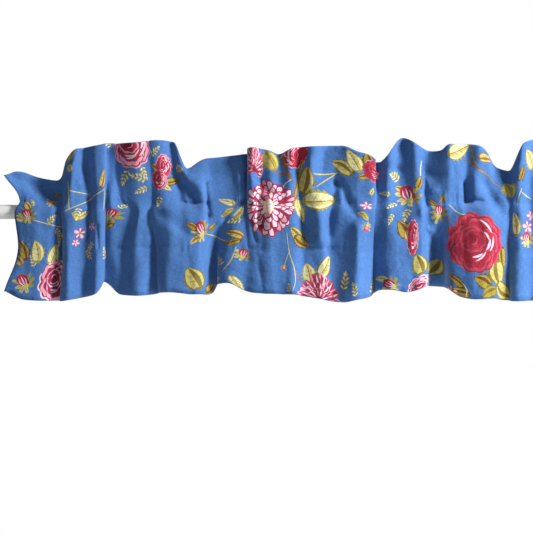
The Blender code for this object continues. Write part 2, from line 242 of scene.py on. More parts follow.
def slopes_through(at, values):
    """Slopes of a smooth curve through the values that never swings past them."""
    gaps = np.diff(at)
    rises = np.diff(values, axis=0) / gaps.reshape(-1, *[1] * (np.ndim(values) - 1))
    slopes = np.zeros_like(values)
    slopes[0] = rises[0]
    slopes[-1] = rises[-1]
    before, after = rises[:-1], rises[1:]
    same_way = before * after > 0
    means = 2.0 * before * after / np.where(same_way, before + after, 1.0)
    slopes[1:-1] = np.where(same_way, means, 0.0)
    return slopes


def between(gap, part, start, end, start_slope, end_slope):
    return (
        (1 + 2 * part) * (1 - part) ** 2 * start
        + part * (1 - part) ** 2 * gap * start_slope
        + part**2 * (3 - 2 * part) * end
        + part**2 * (part - 1) * gap * end_slope
    )


def fold_places():
    """Distance of each fold from the left side, along the flat cloth."""
    steps = [
        np.hypot(np.diff(TABLE[level + "_x"]), np.diff(TABLE[level + "_y"])) for level in LEVELS
    ]
    return np.concatenate([[0.0], np.cumsum(np.mean(steps, axis=0))])


PLACES = fold_places()
WIDTH = PLACES[-1]
LEVEL_PLACES = np.array((0.0, SEAM, ROD_LEVEL, LOW, HEM))
TABLE_SLOPES = {name: slopes_through(PLACES, values) for name, values in TABLE.items()}


def column(name, along):
    """A column of the table as a curve along the cloth, its turns rounded by the cloth."""
    values, slopes = TABLE[name], TABLE_SLOPES[name]
    total = 0.0
    for offset, weight in ROUNDING:
        wanted = along + offset
        span = np.clip(np.searchsorted(PLACES, wanted, side="right") - 1, 0, len(PLACES) - 2)
        gap = PLACES[span + 1] - PLACES[span]
        part = (wanted - PLACES[span]) / gap
        total = total + weight * between(
            gap, part, values[span], values[span + 1], slopes[span], slopes[span + 1]
        )
    return total


def level_points(along):
    """The cloth's five levels at each distance along it: levels, distances, xyz."""
    heights = {
        "top": column("top_z", along),
        "seam": SEAM_RISE + SEAM_LEAN * column("seam_y", along),
        "rod": np.zeros(len(along)),
        "low": np.full(len(along), LOW_SEAM_Z),
        "hem": column("hem_z", along),
    }
    rows = []
    for level in LEVELS:
        x, y = column(level + "_x", along), column(level + "_y", along)
        rows.append(np.stack([x, y, heights[level]], axis=-1))
    return np.array(rows)


def crease_depth(x, z):
    """How far the creases push the cloth back at a place seen from the front."""
    depth = np.zeros_like(x)
    for crease in CREASES:
        run_x, run_z = crease.x1 - crease.x0, crease.z1 - crease.z0
        away_x, away_z = x - crease.x0, z - crease.z0
        part = (away_x * run_x + away_z * run_z) / max(run_x**2 + run_z**2, 1.0)
        part = np.clip(part, 0.0, 1.0)
        gap = (away_x - part * run_x) ** 2 + (away_z - part * run_z) ** 2
        depth += crease.depth * np.exp(-gap / crease.width**2)
    return depth


def wrinkle_depth(along, down):
    """Shallow wrinkles all over, and gathers that fade away from both rows of stitching."""
    depth = np.zeros_like(along)
    for across, fall, start, height in WRINKLES:
        depth += height * np.sin(2 * np.pi * (along / across + down / fall) + start)
    swing = sum(height * np.sin(2 * np.pi * along / pitch) for pitch, height in GATHER_SWINGS)
    share = 0.6 + 0.4 * np.sin(2 * np.pi * along / GATHER_SHARE_PITCH + 1.0)
    gather = np.sin(2 * np.pi * along / GATHER_PITCH + swing)
    for row, reach in ((SEAM, GATHER_REACH), (LOW, GATHER_REACH * 0.8)):
        depth += GATHER_HEIGHT * share * gather * np.exp(-(((down - row) / reach) ** 2))
    return depth


def clear_of_rod(points):
    """Pushes points out of the rod, away from its axis."""
    reach = np.hypot(points[..., 1], points[..., 2])
    push = np.maximum(ROD_REACH / np.maximum(reach, 1.0), 1.0)
    points[..., 1] *= push
    points[..., 2] *= push
    return points


def front(along, down):
    """The middle of the solid's front layer, one point for each pair of distances."""
    levels = level_points(along)
    slopes = slopes_through(LEVEL_PLACES, levels)
    span = np.clip(np.searchsorted(LEVEL_PLACES, down, side="right") - 1, 0, len(LEVELS) - 2)
    each = np.arange(len(along))
    gap = (LEVEL_PLACES[span + 1] - LEVEL_PLACES[span])[:, None]
    part = (down - LEVEL_PLACES[span])[:, None] / gap
    start, end = (span, each), (span + 1, each)
    points = between(gap, part, levels[start], levels[end], slopes[start], slopes[end])
    points[:, 1] += crease_depth(points[:, 0], points[:, 2]) + wrinkle_depth(along, down)
    return clear_of_rod(points)


def facing(surface, along, down):
    """The direction in which the printed face of a surface looks."""
    across = surface(along + PROBE, down) - surface(along - PROBE, down)
    fall = surface(along, down + PROBE) - surface(along, down - PROBE)
    normal = np.cross(fall, across)
    return normal / np.maximum(np.linalg.norm(normal, axis=-1, keepdims=True), 1e-9)


def layer(along, down, offset):
    """A layer that lies beside the front one."""
    return front(along, down) + np.reshape(offset, (-1, 1)) * facing(front, along, down)


def pocket_back(along, part):
    """The pocket's back layer, behind the rod: 0 is the upper stitching and 1 the lower."""
    start = layer(along, np.full(len(along), SEAM), SEWN_OFFSET)
    end = layer(along, np.full(len(along), LOW), SEWN_OFFSET)
    left = level_points(np.array([0.0, WIDTH]))[1, :, 0]
    even = left[0] + (left[1] - left[0]) * along / WIDTH
    rise = np.clip(np.minimum(part, 1 - part) / BACK_SPREAD - BACK_HOLD, 0.0, 1.0)
    spread = rise * rise * (3 - 2 * rise)
    x = (1 - part) * start[:, 0] + part * end[:, 0]
    x = x + spread * (even - x)

    # Over the rod, from the stitching to the level of the rod's axis
    over = np.clip(part / BACK_TURN, 0.0, 1.0)
    drift = BACK_DRIFT * np.sin(2 * np.pi * even / BACK_DRIFT_PITCH)
    share = 1 + BACK_SHARE * np.cos(2 * np.pi * even / BACK_SHARE_PITCH)
    wave = 1 + np.cos(2 * np.pi * even / BACK_PITCH + drift)
    depth = ROD_REACH + BACK_WAVE * share * wave
    for pitch, begin, height in BACK_RIPPLES:
        depth = depth + height * (1 + np.sin(2 * np.pi * even / pitch + begin + 2.0 * part))
    angle = (1 - over) * np.arctan2(start[:, 2], start[:, 1])
    drop = (np.hypot(start[:, 1], start[:, 2]) - ROD_REACH) * (1 - over) ** 3
    reach = ROD_REACH + drop + (depth - ROD_REACH) * over**2

    # Below it, from there to the lower stitching
    fall = np.clip((part - BACK_TURN) / (1 - BACK_TURN), 0.0, 1.0)
    leave, hang, meet = (1 - fall) ** 3, 3 * fall * (1 - fall) ** 2, 3 * fall**2 * (1 - fall)
    low_y = (leave + hang) * depth + meet * (end[:, 1] + BACK_MEET) + fall**3 * end[:, 1]
    low_z = (BACK_HANG * hang + BACK_RISE * meet + fall**3) * end[:, 2]
    y = np.where(fall > 0, low_y, reach * np.cos(angle))
    z = np.where(fall > 0, low_z, reach * np.sin(angle))
    return np.stack([x, y, z], axis=-1)


def turned(distance, radius):
    """A sheet that turns back round an edge. Zero is the edge: the distance from the solid's edge
    and the share, from -1 to 1, of the half gap between the two layers."""
    angle = np.clip(np.abs(distance) / radius, 0.0, np.pi / 2)
    straight = np.maximum(np.abs(distance) - radius * np.pi / 2, 0.0)
    return radius * (1 - np.cos(angle)) + straight, np.sign(distance) * np.sin(angle)


def cloth(along, place):
    """The middle of the one sheet of cloth. place runs down its flat length: the back layer is
    below zero, the top fold is zero, the front goes on to the hem, and its turn-up ends it."""
    points = np.empty((len(along), 3))
    pocket = place < -SEAM
    fold = ~pocket & (place < HEM / 2)
    hem = ~pocket & ~fold

    inward, side = turned(place[fold], FOLD_RADIUS)
    sewn = np.exp(-((SEAM - inward) / HEADING_EASE) ** 2)
    behind = HEADING_OFFSET + (SEWN_OFFSET - HEADING_OFFSET) * sewn
    offset = (FRONT_OFFSET + behind) / 2 + side * (FRONT_OFFSET - behind) / 2
    points[fold] = layer(along[fold], inward, offset)

    inward, side = turned(HEM - place[hem], HEM_RADIUS)
    offset = (FRONT_OFFSET + SEWN_OFFSET) / 2 + side * HEM_RADIUS
    points[hem] = layer(along[hem], HEM - inward, offset)

    part = (-SEAM - place[pocket]) / BACK_LENGTH
    behind = pocket_back(along[pocket], np.minimum(part, 1.0))
    past = part > 1
    if past.any():
        below = LOW + (part[past] - 1) * BACK_LENGTH
        behind[past] = layer(along[pocket][past], below, SEWN_OFFSET)
    points[pocket] = behind
    return points


def spaced_by_bend():
    """Distances along the cloth for the mesh's columns, close together where it bends."""
    along = np.arange(0.0, WIDTH, BEND_READ)
    bend = np.zeros(len(along) - 1)
    for down in BEND_ROWS:
        normal = facing(front, along, np.full(len(along), down))
        turn = np.arccos(np.clip((normal[1:] * normal[:-1]).sum(axis=1), -1.0, 1.0)) / BEND_READ
        bend = np.maximum(bend, turn)
    smooth = np.convolve(bend, np.ones(5) / 5, mode="same")
    density = np.clip(smooth / BEND_STEP, 1 / WIDEST_STEP, 1 / CLOSEST_STEP)
    total = np.concatenate([[0.0], np.cumsum(density * np.diff(along))])
    count = int(np.ceil(total[-1]))
    return np.interp(np.linspace(0.0, total[-1], count + 1), total, along * WIDTH / along[-1])


def rows_down():
    """Distances down the flat strip for the mesh's rows."""
    quarter = FOLD_RADIUS * np.pi / 2
    hem = HEM_RADIUS * np.pi / 2
    return np.concatenate(
        [
            np.array([STRIP_START]),
            np.linspace(-(SEAM + BACK_LENGTH), -SEAM, 14),
            np.linspace(-SEAM + 6.0, -8.0, 7),
            quarter * np.array([-1.0, -0.5, 0.0, 0.5, 1.0]),
            np.linspace(6.0, SEAM - 4.0, 15),
            np.linspace(SEAM, LOW, 15),
            np.linspace(LOW + 4.0, HEM - 4.0, 12),
            HEM + hem * np.array([-1.0, 0.0, 1.0]),
            np.array([STRIP_END - 4.0, STRIP_END]),
        ]
    )

# ---------------------------------------------------------------- the sheet
EPSILON = 1e-3
MERGE = 0.45
NEAR_BORDER = 0.01
EDGE_INSET = 0.8
NEAR_OUTLINE = 2.6
FINE_CREASE_WIDTH = 12.0
FINE_OFFSETS = (-1.6, -1.1, -0.7, -0.35, 0.0, 0.35, 0.7, 1.1, 1.6)
FINE_STEP = 4.5
STEP_SHARE = 0.8
# Guides keep this far from the strip's edges, and a shorter crease counts as a dot
GUIDE_INSET = 2.0
SHORTEST_CREASE = 2.0
# The plain ground goes this far past the motifs' room
GROUND_MARGIN = 0.5
# An outline that fills more than this share of its box, and this much more, has spilled
SPILL_SHARE = 1.02
SPILL_MORE = 0.5


class Finder:
    """Finds the place on the flat cloth that shows at a point seen from the front."""

    STEP_ALONG = 1.5
    STEP_DOWN = 3.0
    NEAR_X = 2.4
    NEAR_Z = 3.6
    SAME_LAYER = 4.0

    def __init__(self):
        along = np.arange(1.0, WIDTH - 1.0, self.STEP_ALONG)
        down = np.arange(1.0, HEM, self.STEP_DOWN)
        grid = np.meshgrid(along, down, indexing="ij")
        self.along, self.down = grid[0].ravel(), grid[1].ravel()
        self.points = front(self.along, self.down)

    def at(self, x, z):
        """(distance along, distance down) of the cloth's nearest layer at x, z, or None."""
        away_x = np.abs(self.points[:, 0] - x)
        away_z = np.abs(self.points[:, 2] - z)
        near = np.flatnonzero((away_x < self.NEAR_X) & (away_z < self.NEAR_Z))
        if not len(near):
            return None
        depth = self.points[near, 1]
        near = near[depth < depth.min() + self.SAME_LAYER]
        best = near[np.argmin(np.hypot(self.points[near, 0] - x, self.points[near, 2] - z))]
        along, down = self.along[best], self.down[best]
        missed_z = self.points[best, 2] - z
        return np.array([along, down + missed_z])


def crease_guides(finder):
    """Extra points beside each narrow crease, so that the mesh holds it."""
    low, high = np.array((0.0, STRIP_START)), np.array((WIDTH, STRIP_END))
    found = []
    for crease in CREASES:
        if crease.width > FINE_CREASE_WIDTH:
            continue
        run = np.array([crease.x1 - crease.x0, crease.z1 - crease.z0], float)
        length = max(np.hypot(*run), 1.0)
        side = np.array([-run[1], run[0]]) / length
        if length < SHORTEST_CREASE:
            side = np.array([1.0, 0.0])
        step = max(FINE_STEP, STEP_SHARE * crease.width)
        for part in np.linspace(0, 1, int(length / step) + 2):
            for offset in FINE_OFFSETS:
                spot = np.array([crease.x0, crease.z0]) + part * run + offset * crease.width * side
                place = finder.at(*spot)
                if place is None:
                    continue
                inset = np.minimum(np.abs(place - low), np.abs(place - high))
                if (inset > GUIDE_INSET).all():
                    found.append(place)
    # The heading's back layer holds the same creases.
    return found + [place * (1.0, -1.0) for place in found if place[1] < SEAM - GUIDE_INSET]


def grid_points(columns, rows):
    along, place = np.meshgrid(columns, rows, indexing="ij")
    return np.stack([along.ravel(), place.ravel()], axis=1)


def loop_area(outline):
    following = np.roll(outline, -1, axis=0)
    return (outline[:, 0] * following[:, 1] - outline[:, 1] * following[:, 0]).sum() / 2


def flat_area(places, triangles):
    a, b, c = (places[triangles[:, k]] for k in range(3))
    return ((b - a)[:, 0] * (c - a)[:, 1] - (b - a)[:, 1] * (c - a)[:, 0]) / 2


def face_one_way(places, triangles, sign):
    wrong_way = sign * flat_area(places, triangles) < 0
    triangles[wrong_way] = triangles[wrong_way][:, ::-1]


def cut(points, edges, loops, epsilon):
    """A triangulation of flat points that holds these edges and loops."""
    flat = [Vector((float(point[0]), float(point[1]))) for point in points]
    result = delaunay_2d_cdt(flat, edges, loops, 0, epsilon, bool(loops))
    places = np.array([tuple(point) for point in result[0]])
    return places, np.array([tuple(face) for face in result[2]], int), result[5]


def top_covers(covers, areas, outlines):
    """The last outline that covers each triangle, or -1. An outline that crosses itself can spill
    over the whole sheet, and is left out."""
    owner = np.repeat(np.arange(len(covers)), [len(cover) for cover in covers])
    outline = np.array([number for cover in covers for number in cover], int)
    filled = np.bincount(outline, weights=areas[owner], minlength=len(outlines))
    room = np.array([np.prod(np.ptp(np.array(points), axis=0)) for points in outlines])
    sound = filled <= SPILL_SHARE * room + SPILL_MORE
    top = np.full(len(covers), -1)
    keep = sound[outline]
    np.maximum.at(top, owner[keep], outline[keep])
    return top


def seen_outlines(shapes):
    """Lays the shapes over each other on the flat cloth. Returns the triangles, the last shape that
    covers each (or -1), and the edges where the ink changes."""
    low = np.array((EDGE_INSET, STRIP_START + EDGE_INSET))
    high = np.array((WIDTH - EDGE_INSET, STRIP_END - EDGE_INSET))
    left, bottom = low - GROUND_MARGIN
    right, top = high + GROUND_MARGIN
    points = [(left, bottom), (right, bottom), (right, top), (left, top)]
    loops, spans = [], []
    for outline, _ in shapes:
        outline = np.clip(outline, low, high)
        if loop_area(outline) < 0:
            outline = outline[::-1]
        spans.append((len(points), len(points) + len(outline)))
        loops.append(list(range(*spans[-1])))
        points += list(outline)
    places, triangles, covers = cut(points, [], loops, EPSILON)
    outlines = [points[first:last] for first, last in spans]
    covers = top_covers(covers, np.abs(flat_area(places, triangles)), outlines)
    kinds = {ink: number for number, ink in enumerate(INKS)}
    numbers = np.array([kinds[ink] for _, ink in shapes] + [kinds["ground"]])[covers]
    ends = np.concatenate([triangles[:, [0, 1]], triangles[:, [1, 2]], triangles[:, [2, 0]]])
    ends = np.sort(ends, axis=1)
    owner = np.tile(numbers, 3)
    order = np.lexsort((ends[:, 1], ends[:, 0]))
    ends, owner = ends[order], owner[order]
    paired = np.flatnonzero((ends[1:] == ends[:-1]).all(axis=1))
    changes = paired[owner[paired] != owner[paired + 1]]
    return places, triangles, covers, ends[changes]


def cut_sheet(columns, rows, guides, shapes):
    """Triangles of the flat strip, cut where the ink changes, and the last shape that covers each
    one (or -1)."""
    places, triangles, covers, changes = seen_outlines(shapes)
    used, edges = np.unique(changes, return_inverse=True)
    outline = places[used]
    points = list(outline)
    tree = KDTree(len(outline))
    for index, point in enumerate(outline):
        tree.insert((*point, 0.0), index)
    tree.balance()
    low, high = np.array((columns[0], rows[0])), np.array((columns[-1], rows[-1]))
    for point in [*grid_points(columns, rows), *guides]:
        on_border = (np.minimum(np.abs(point - low), np.abs(point - high)) < NEAR_BORDER).any()
        if on_border or tree.find((*point, 0.0))[2] > NEAR_OUTLINE:
            points.append(point)
    edges = [tuple(int(end) for end in edge) for edge in edges.reshape(-1, 2)]
    final, faces, _ = cut(points, edges, [], MERGE)
    tree = BVHTree.FromPolygons([(*place, 0.0) for place in places], triangles.tolist())
    middles = final[faces].mean(axis=1)
    found = [tree.ray_cast((*middle, 1.0), (0.0, 0.0, -1.0))[2] for middle in middles]
    covers = np.array([-1 if hit is None else covers[hit] for hit in found], int)
    return final, faces, covers


def shown(name, data):
    """A new object in the scene, shaded smooth if it is a mesh."""
    if hasattr(data, "shade_smooth"):
        data.shade_smooth()
    made = bpy.data.objects.new(name, data)
    bpy.context.scene.collection.objects.link(made)
    return made


def border_of(places, low, high):
    """Indices of the points on the rectangle's border, in order round it."""
    sides = [
        (np.abs(places[:, 1] - low[1]) < NEAR_BORDER, 0, 1),
        (np.abs(places[:, 0] - high[0]) < NEAR_BORDER, 1, 1),
        (np.abs(places[:, 1] - high[1]) < NEAR_BORDER, 0, -1),
        (np.abs(places[:, 0] - low[0]) < NEAR_BORDER, 1, -1),
    ]
    found = []
    for on_side, axis, way in sides:
        side = np.flatnonzero(on_side)
        side = side[np.argsort(way * places[side, axis])]
        found += list(side[:-1])
    return found


def build_sheet(name, shapes, finder):
    """The one closed sheet: a printed face cut along its motifs, a plain wrong side, and rims."""
    columns, rows = spaced_by_bend(), rows_down()
    guides = crease_guides(finder)
    outer, faces, covers = cut_sheet(columns, rows, guides, shapes)
    face_one_way(outer, faces, -1)
    inner, inner_faces, _ = cut(list(grid_points(columns, rows)) + guides, [], [], MERGE)
    face_one_way(inner, inner_faces, 1)
    low, high = (0.0, rows[0]), (columns[-1], rows[-1])
    outer_rim, inner_rim = border_of(outer, low, high), border_of(inner, low, high)
    start = len(outer)
    rim = []
    for k in range(len(outer_rim)):
        p, q = outer_rim[k - 1], outer_rim[k]
        r, s = start + inner_rim[k], start + inner_rim[k - 1]
        rim += [(p, q, r), (p, r, s)]
    places = np.concatenate([outer, inner])
    middle = cloth(places[:, 0], places[:, 1])
    normal = facing(cloth, places[:, 0], places[:, 1])
    side = np.concatenate([np.full(len(outer), 1.0), np.full(len(inner), -1.0)])[:, None]
    points = METRES * (middle + THICKNESS / 2 * side * normal)
    triangles = np.concatenate([faces, inner_faces + start, np.array(rim)])
    mesh = bpy.data.meshes.new(name)
    mesh.from_pydata(points.tolist(), [], triangles.tolist())
    inks = [INKS[ink] for _, ink in shapes] + [INKS["ground"]]
    face_inks = [inks[cover] for cover in covers]
    face_inks += [INKS["wrong_side"]] * len(inner_faces) + [INKS["ground"]] * len(rim)
    colours = np.repeat(np.array([(*ink, 1.0) for ink in face_inks]), 3, axis=0)
    ink = mesh.color_attributes.new("ink", "FLOAT_COLOR", "CORNER")
    ink.data.foreach_set("color", colours.ravel())
    corners = triangles.ravel()
    flat = mesh.uv_layers.new(name="flat")
    flat.data.foreach_set("uv", (METRES * places[corners]).ravel())
    return shown(name, mesh)


# ---------------------------------------------------------------- the sewing
STITCH_PITCH = 3.4
STITCH_LENGTH = 2.5
SIDE_HEM = 6.0
SIDE_ROW_START = 3.0
HEM_ROW = HEM - 7.0
SEWN_ROWS = (SEAM, LOW, HEM_ROW, -SEAM, -(SEAM + BACK_LENGTH) + 1.0)
# Share of a stitch's length, thread radius and height of its middle over the cloth
STITCH_RINGS = ((0.0, 0.1, -0.12), (0.22, 0.22, 0.13), (0.78, 0.22, 0.13), (1.0, 0.1, -0.12))
THREAD_SIDES = 4
THREAD_FLATNESS = 0.75


def stitch_starts():
    """Where each stitch starts on the flat strip, and which way it runs."""
    starts, ways = [], []
    for row in SEWN_ROWS:
        along = np.arange(SIDE_HEM, WIDTH - SIDE_HEM - STITCH_LENGTH, STITCH_PITCH)
        starts.append(np.stack([along, np.full(len(along), row)], axis=1))
        ways.append(np.tile((1.0, 0.0), (len(along), 1)))
    for side in (SIDE_HEM, WIDTH - SIDE_HEM):
        down = np.arange(SIDE_ROW_START, HEM - SIDE_ROW_START - STITCH_LENGTH, STITCH_PITCH)
        starts.append(np.stack([np.full(len(down), side), down], axis=1))
        ways.append(np.tile((0.0, 1.0), (len(down), 1)))
    return np.concatenate(starts), np.concatenate(ways)


def sew(name):
    """The stitches of both seams, front and back, and of the hems."""
    starts, ways = stitch_starts()
    run = None
    rings = []
    for part, radius, lift in STITCH_RINGS:
        along, place = (starts + part * STITCH_LENGTH * ways).T
        normal = facing(cloth, along, place)
        centre = cloth(along, place) + (THICKNESS / 2 + lift) * normal
        if run is None:
            far_along, far_place = (starts + STITCH_LENGTH * ways).T
            run = cloth(far_along, far_place) - cloth(along, place)
            run /= np.linalg.norm(run, axis=1, keepdims=True)
        side = np.cross(normal, run)
        for k in range(THREAD_SIDES):
            turn = 2 * np.pi * (k + 0.5) / THREAD_SIDES
            rise = THREAD_FLATNESS * math.sin(turn) * normal
            rings.append(centre + radius * (math.cos(turn) * side + rise))
    points = METRES * np.stack(rings, axis=1).reshape(-1, 3)
    faces = []
    for ring in range(len(STITCH_RINGS) - 1):
        for k in range(THREAD_SIDES):
            a, b = ring * THREAD_SIDES + k, ring * THREAD_SIDES + (k + 1) % THREAD_SIDES
            faces.append((a, a + THREAD_SIDES, b + THREAD_SIDES, b))
    last = (len(STITCH_RINGS) - 1) * THREAD_SIDES
    faces.append(tuple(range(THREAD_SIDES)))
    faces.append(tuple(last + k for k in reversed(range(THREAD_SIDES))))
    size = len(STITCH_RINGS) * THREAD_SIDES
    every = np.array(faces)[None] + size * np.arange(len(starts))[:, None, None]
    mesh = bpy.data.meshes.new(name)
    mesh.from_pydata(points.tolist(), [], every.reshape(-1, 4).tolist())
    return shown(name, mesh)

# ---------------------------------------------------------------- the print
def ink_of(red, green, blue):
    """A colour of the print, from its screen values of 0 to 255, as linear light."""
    shares = [value / 255 for value in (red, green, blue)]
    return tuple(
        share / 12.92 if share <= 0.04045 else ((share + 0.055) / 1.055) ** 2.4 for share in shares
    )


INKS = {
    "ground": ink_of(64, 109, 170),
    # Painted shade: a darker blue laid along the turned edges, where the rolled top fold, hem and
    # sides fall into shade
    "painted_edge_shade": ink_of(46, 80, 132),
    "wrong_side": ink_of(100, 136, 188),
    "crimson": ink_of(162, 30, 56),
    "wine": ink_of(148, 33, 68),
    "deep": ink_of(138, 12, 42),
    "rose": ink_of(178, 60, 82),
    "pink": ink_of(216, 150, 172),
    "blush": ink_of(224, 198, 212),
    "white": ink_of(240, 232, 228),
    "peach": ink_of(240, 206, 170),
    "butter": ink_of(206, 202, 148),
    "yellow": ink_of(182, 172, 98),
    "olive": ink_of(150, 138, 46),
    "moss": ink_of(110, 100, 36),
    "brown": ink_of(134, 88, 30),
    "umber": ink_of(92, 54, 22),
}

OUTLINE_STEP = 2.6
PETAL_BROAD = 0.62
LEAF_TEETH = 6

# A leaf's light colour and its shade
PALE = ("butter", "olive")
DARK = ("olive", "umber")
TAWNY = ("yellow", "brown")
BROAD = ("yellow", "moss")
LIME = ("yellow", "olive")


class Motif:
    """Draws shapes in its own frame: right and up in millimetres, about a place on the flat
    cloth. A motif is turned by an angle in degrees, to the left, and stretched."""

    def __init__(self, shapes, place, angle=0.0, wide=1.0, tall=1.0):
        self.shapes = shapes
        self.place = np.array(place, float)
        turn = math.radians(angle)
        self.right = np.array([math.cos(turn) * wide, -math.sin(turn) * tall])
        self.up = np.array([-math.sin(turn) * wide, -math.cos(turn) * tall])

    def fill(self, outline, ink):
        outline = np.asarray(outline, float)
        flat = self.place + outline[:, :1] * self.right + outline[:, 1:] * self.up
        self.shapes.append((flat, ink))

    def stroke(self, line, width, ink, ends=0.25):
        for part in ribbon(line, width, ends):
            self.fill(part, ink)


def count_for(length, least=7):
    return max(least, int(round(length / OUTLINE_STEP)))


def smooth_line(points, step=4.0):
    """A smooth line through a few points."""
    points = np.asarray(points, float)
    length = np.concatenate([[0.0], np.cumsum(np.hypot(*np.diff(points, axis=0).T))])
    count = max(3, int(length[-1] / step) + 1)
    wanted = np.linspace(0.0, length[-1], count)
    if len(points) < 3:
        return np.stack([np.interp(wanted, length, points[:, k]) for k in (0, 1)], axis=1)
    slopes = np.gradient(points, length, axis=0)
    span = np.clip(np.searchsorted(length, wanted, side="right") - 1, 0, len(points) - 2)
    gap = (length[span + 1] - length[span])[:, None]
    part = (wanted - length[span])[:, None] / gap
    return between(gap, part, points[span], points[span + 1], slopes[span], slopes[span + 1])


def ribbon(line, width, ends=0.25):
    """A tapered stroke along a line, widest in its middle, as one outline for each step."""
    line = np.asarray(line, float)
    run = np.gradient(line, axis=0)
    side = np.stack([-run[:, 1], run[:, 0]], axis=1)
    side /= np.maximum(np.hypot(side[:, 0], side[:, 1]), 1e-6)[:, None]
    part = np.linspace(0.0, 1.0, len(line))
    half = width / 2 * (ends + (1 - ends) * np.sin(np.pi * part) ** 0.7)
    left, right = line + side * half[:, None], line - side * half[:, None]
    return [
        np.array([left[k], left[k + 1], right[k + 1], right[k]]) for k in range(len(line) - 1)
    ]


def turned_by(points, angle):
    turn = math.radians(angle)
    across, up = np.asarray(points, float).T
    right, rise = math.cos(turn), math.sin(turn)
    return np.stack([across * right - up * rise, across * rise + up * right], axis=1)


def petal_outline(length, width, notch=0.0, wobble=0.0, seed=0):
    """A petal from the origin along its own up direction."""
    count = count_for(2.2 * length + 1.2 * width, 9)
    angle = np.linspace(0.0, 2 * np.pi, count, endpoint=False)
    up = (1 - np.cos(angle)) / 2
    across = np.sin(angle) * width / 2 * (0.45 + 0.55 * up / PETAL_BROAD) / (0.45 + 0.55)
    dip = notch * np.exp(-((across / (0.22 * width)) ** 2)) * (up > 0.5)
    if wobble:
        across = across * (1 + wobble * np.sin(5 * angle + seed))
        up = up * (1 + wobble * 0.5 * np.sin(4 * angle + 2.0 * seed))
    return np.stack([across, length * (up - dip)], axis=1)


def blob_outline(wide, tall, wobble, seed):
    count = count_for(np.pi * (wide + tall) / 2, 8)
    angle = np.linspace(0.0, 2 * np.pi, count, endpoint=False)
    swell = 1 + wobble * (np.sin(5 * angle + seed) + 0.6 * np.sin(7 * angle + 2 * seed))
    return np.stack([wide / 2 * swell * np.cos(angle), tall / 2 * swell * np.sin(angle)], axis=1)


def scalloped(wide, tall, lobes, depth, seed):
    """A rounded outline with a frilled edge of small lobes."""
    count = max(count_for(np.pi * (wide + tall) / 2), 3 * lobes)
    angle = np.linspace(0.0, 2 * np.pi, count, endpoint=False)
    frill = np.abs(np.sin((lobes * angle + 0.7 * np.sin(2 * angle + seed)) / 2 + seed))
    swell = 1 + depth * (frill - 0.6) + 0.05 * np.sin(2 * angle + 1.7 * seed)
    return np.stack([wide / 2 * swell * np.cos(angle), tall / 2 * swell * np.sin(angle)], axis=1)


def arc(radius, start, end, squash=0.9, drift=0.0):
    """A curved line round the origin between two angles in degrees, drifting outwards."""
    angle = np.radians(np.linspace(start, end, max(4, int(radius * abs(end - start) / 140))))
    reach = radius * (1 + drift * np.linspace(0.0, 1.0, len(angle)))
    return np.stack([reach * np.cos(angle), squash * reach * np.sin(angle)], axis=1)


def rose(motif, size, seed, edge="pink", body="crimson", shade="deep", heart="rose", rim=0.03):
    """A full-blown rose: frilled petals laid over each other round a rolled heart, with pale
    strokes where the petals catch the light."""
    rng = np.random.default_rng(seed)
    motif.fill(scalloped(size, 0.96 * size, 11, 0.12, seed), edge)
    motif.fill(scalloped(0.92 * size, 0.88 * size, 11, 0.13, seed), body)
    for k, angle in enumerate((100, 35, 165, -20, 215, -75, 265)):
        angle = math.radians(angle + rng.uniform(-12, 12))
        away = np.array([math.cos(angle), math.sin(angle)])
        wide, tall = size * rng.uniform(0.46, 0.58, 2)
        spot = 0.2 * size * away
        twist = seed + k
        motif.fill(spot + scalloped(1.07 * wide, 1.07 * tall, 7, 0.16, twist), shade)
        motif.fill(spot + scalloped(wide, tall, 7, 0.16, twist), edge if k % 2 else heart)
        inward = spot - rim * size * away
        motif.fill(inward + scalloped(0.92 * wide, 0.9 * tall, 7, 0.15, twist), body)
        inward = spot - 0.13 * size * away
        motif.fill(inward + blob_outline(0.5 * wide, 0.42 * tall, 0.1, twist), shade)
    centre = np.array([-0.04, 0.06]) * size
    motif.fill(centre + scalloped(0.46 * size, 0.42 * size, 7, 0.14, seed), heart)
    motif.fill(centre + scalloped(0.4 * size, 0.36 * size, 7, 0.14, seed), body)
    motif.fill(centre + blob_outline(0.2 * size, 0.17 * size, 0.12, seed), shade)
    for k in range(4):
        start = 95 * k + 20 * seed
        curl = arc(size * (0.17 - 0.035 * k), start, start + 150, 0.85, -0.25)
        motif.stroke(centre + curl, 0.026 * size + 0.4, (edge, shade)[k % 2], 0.15)
    for k in range(10):
        start = -125 + 17 * k + rng.uniform(-12, 12)
        reach = size * (0.23 + 0.07 * (k % 3))
        end, drift = start + rng.uniform(30, 52), rng.uniform(-0.25, 0.08)
        line = centre + arc(reach, start, end, 0.95, drift)
        motif.stroke(line, size * rng.uniform(0.03, 0.06), "blush" if k % 3 else edge, 0.06)


# Petals, and shares of the flower's width: their tips, their feet and how wide they are
PETAL_RINGS = (
    (20, 0.5, 0.33, 0.12),
    (17, 0.42, 0.24, 0.12),
    (14, 0.33, 0.16, 0.11),
    (10, 0.24, 0.08, 0.11),
)
# Rows of a fan flower: petals, share of its width that they reach, and half the fan's angle
FAN_ROWS = ((8, 0.58, 96), (7, 0.45, 82), (5, 0.3, 62))


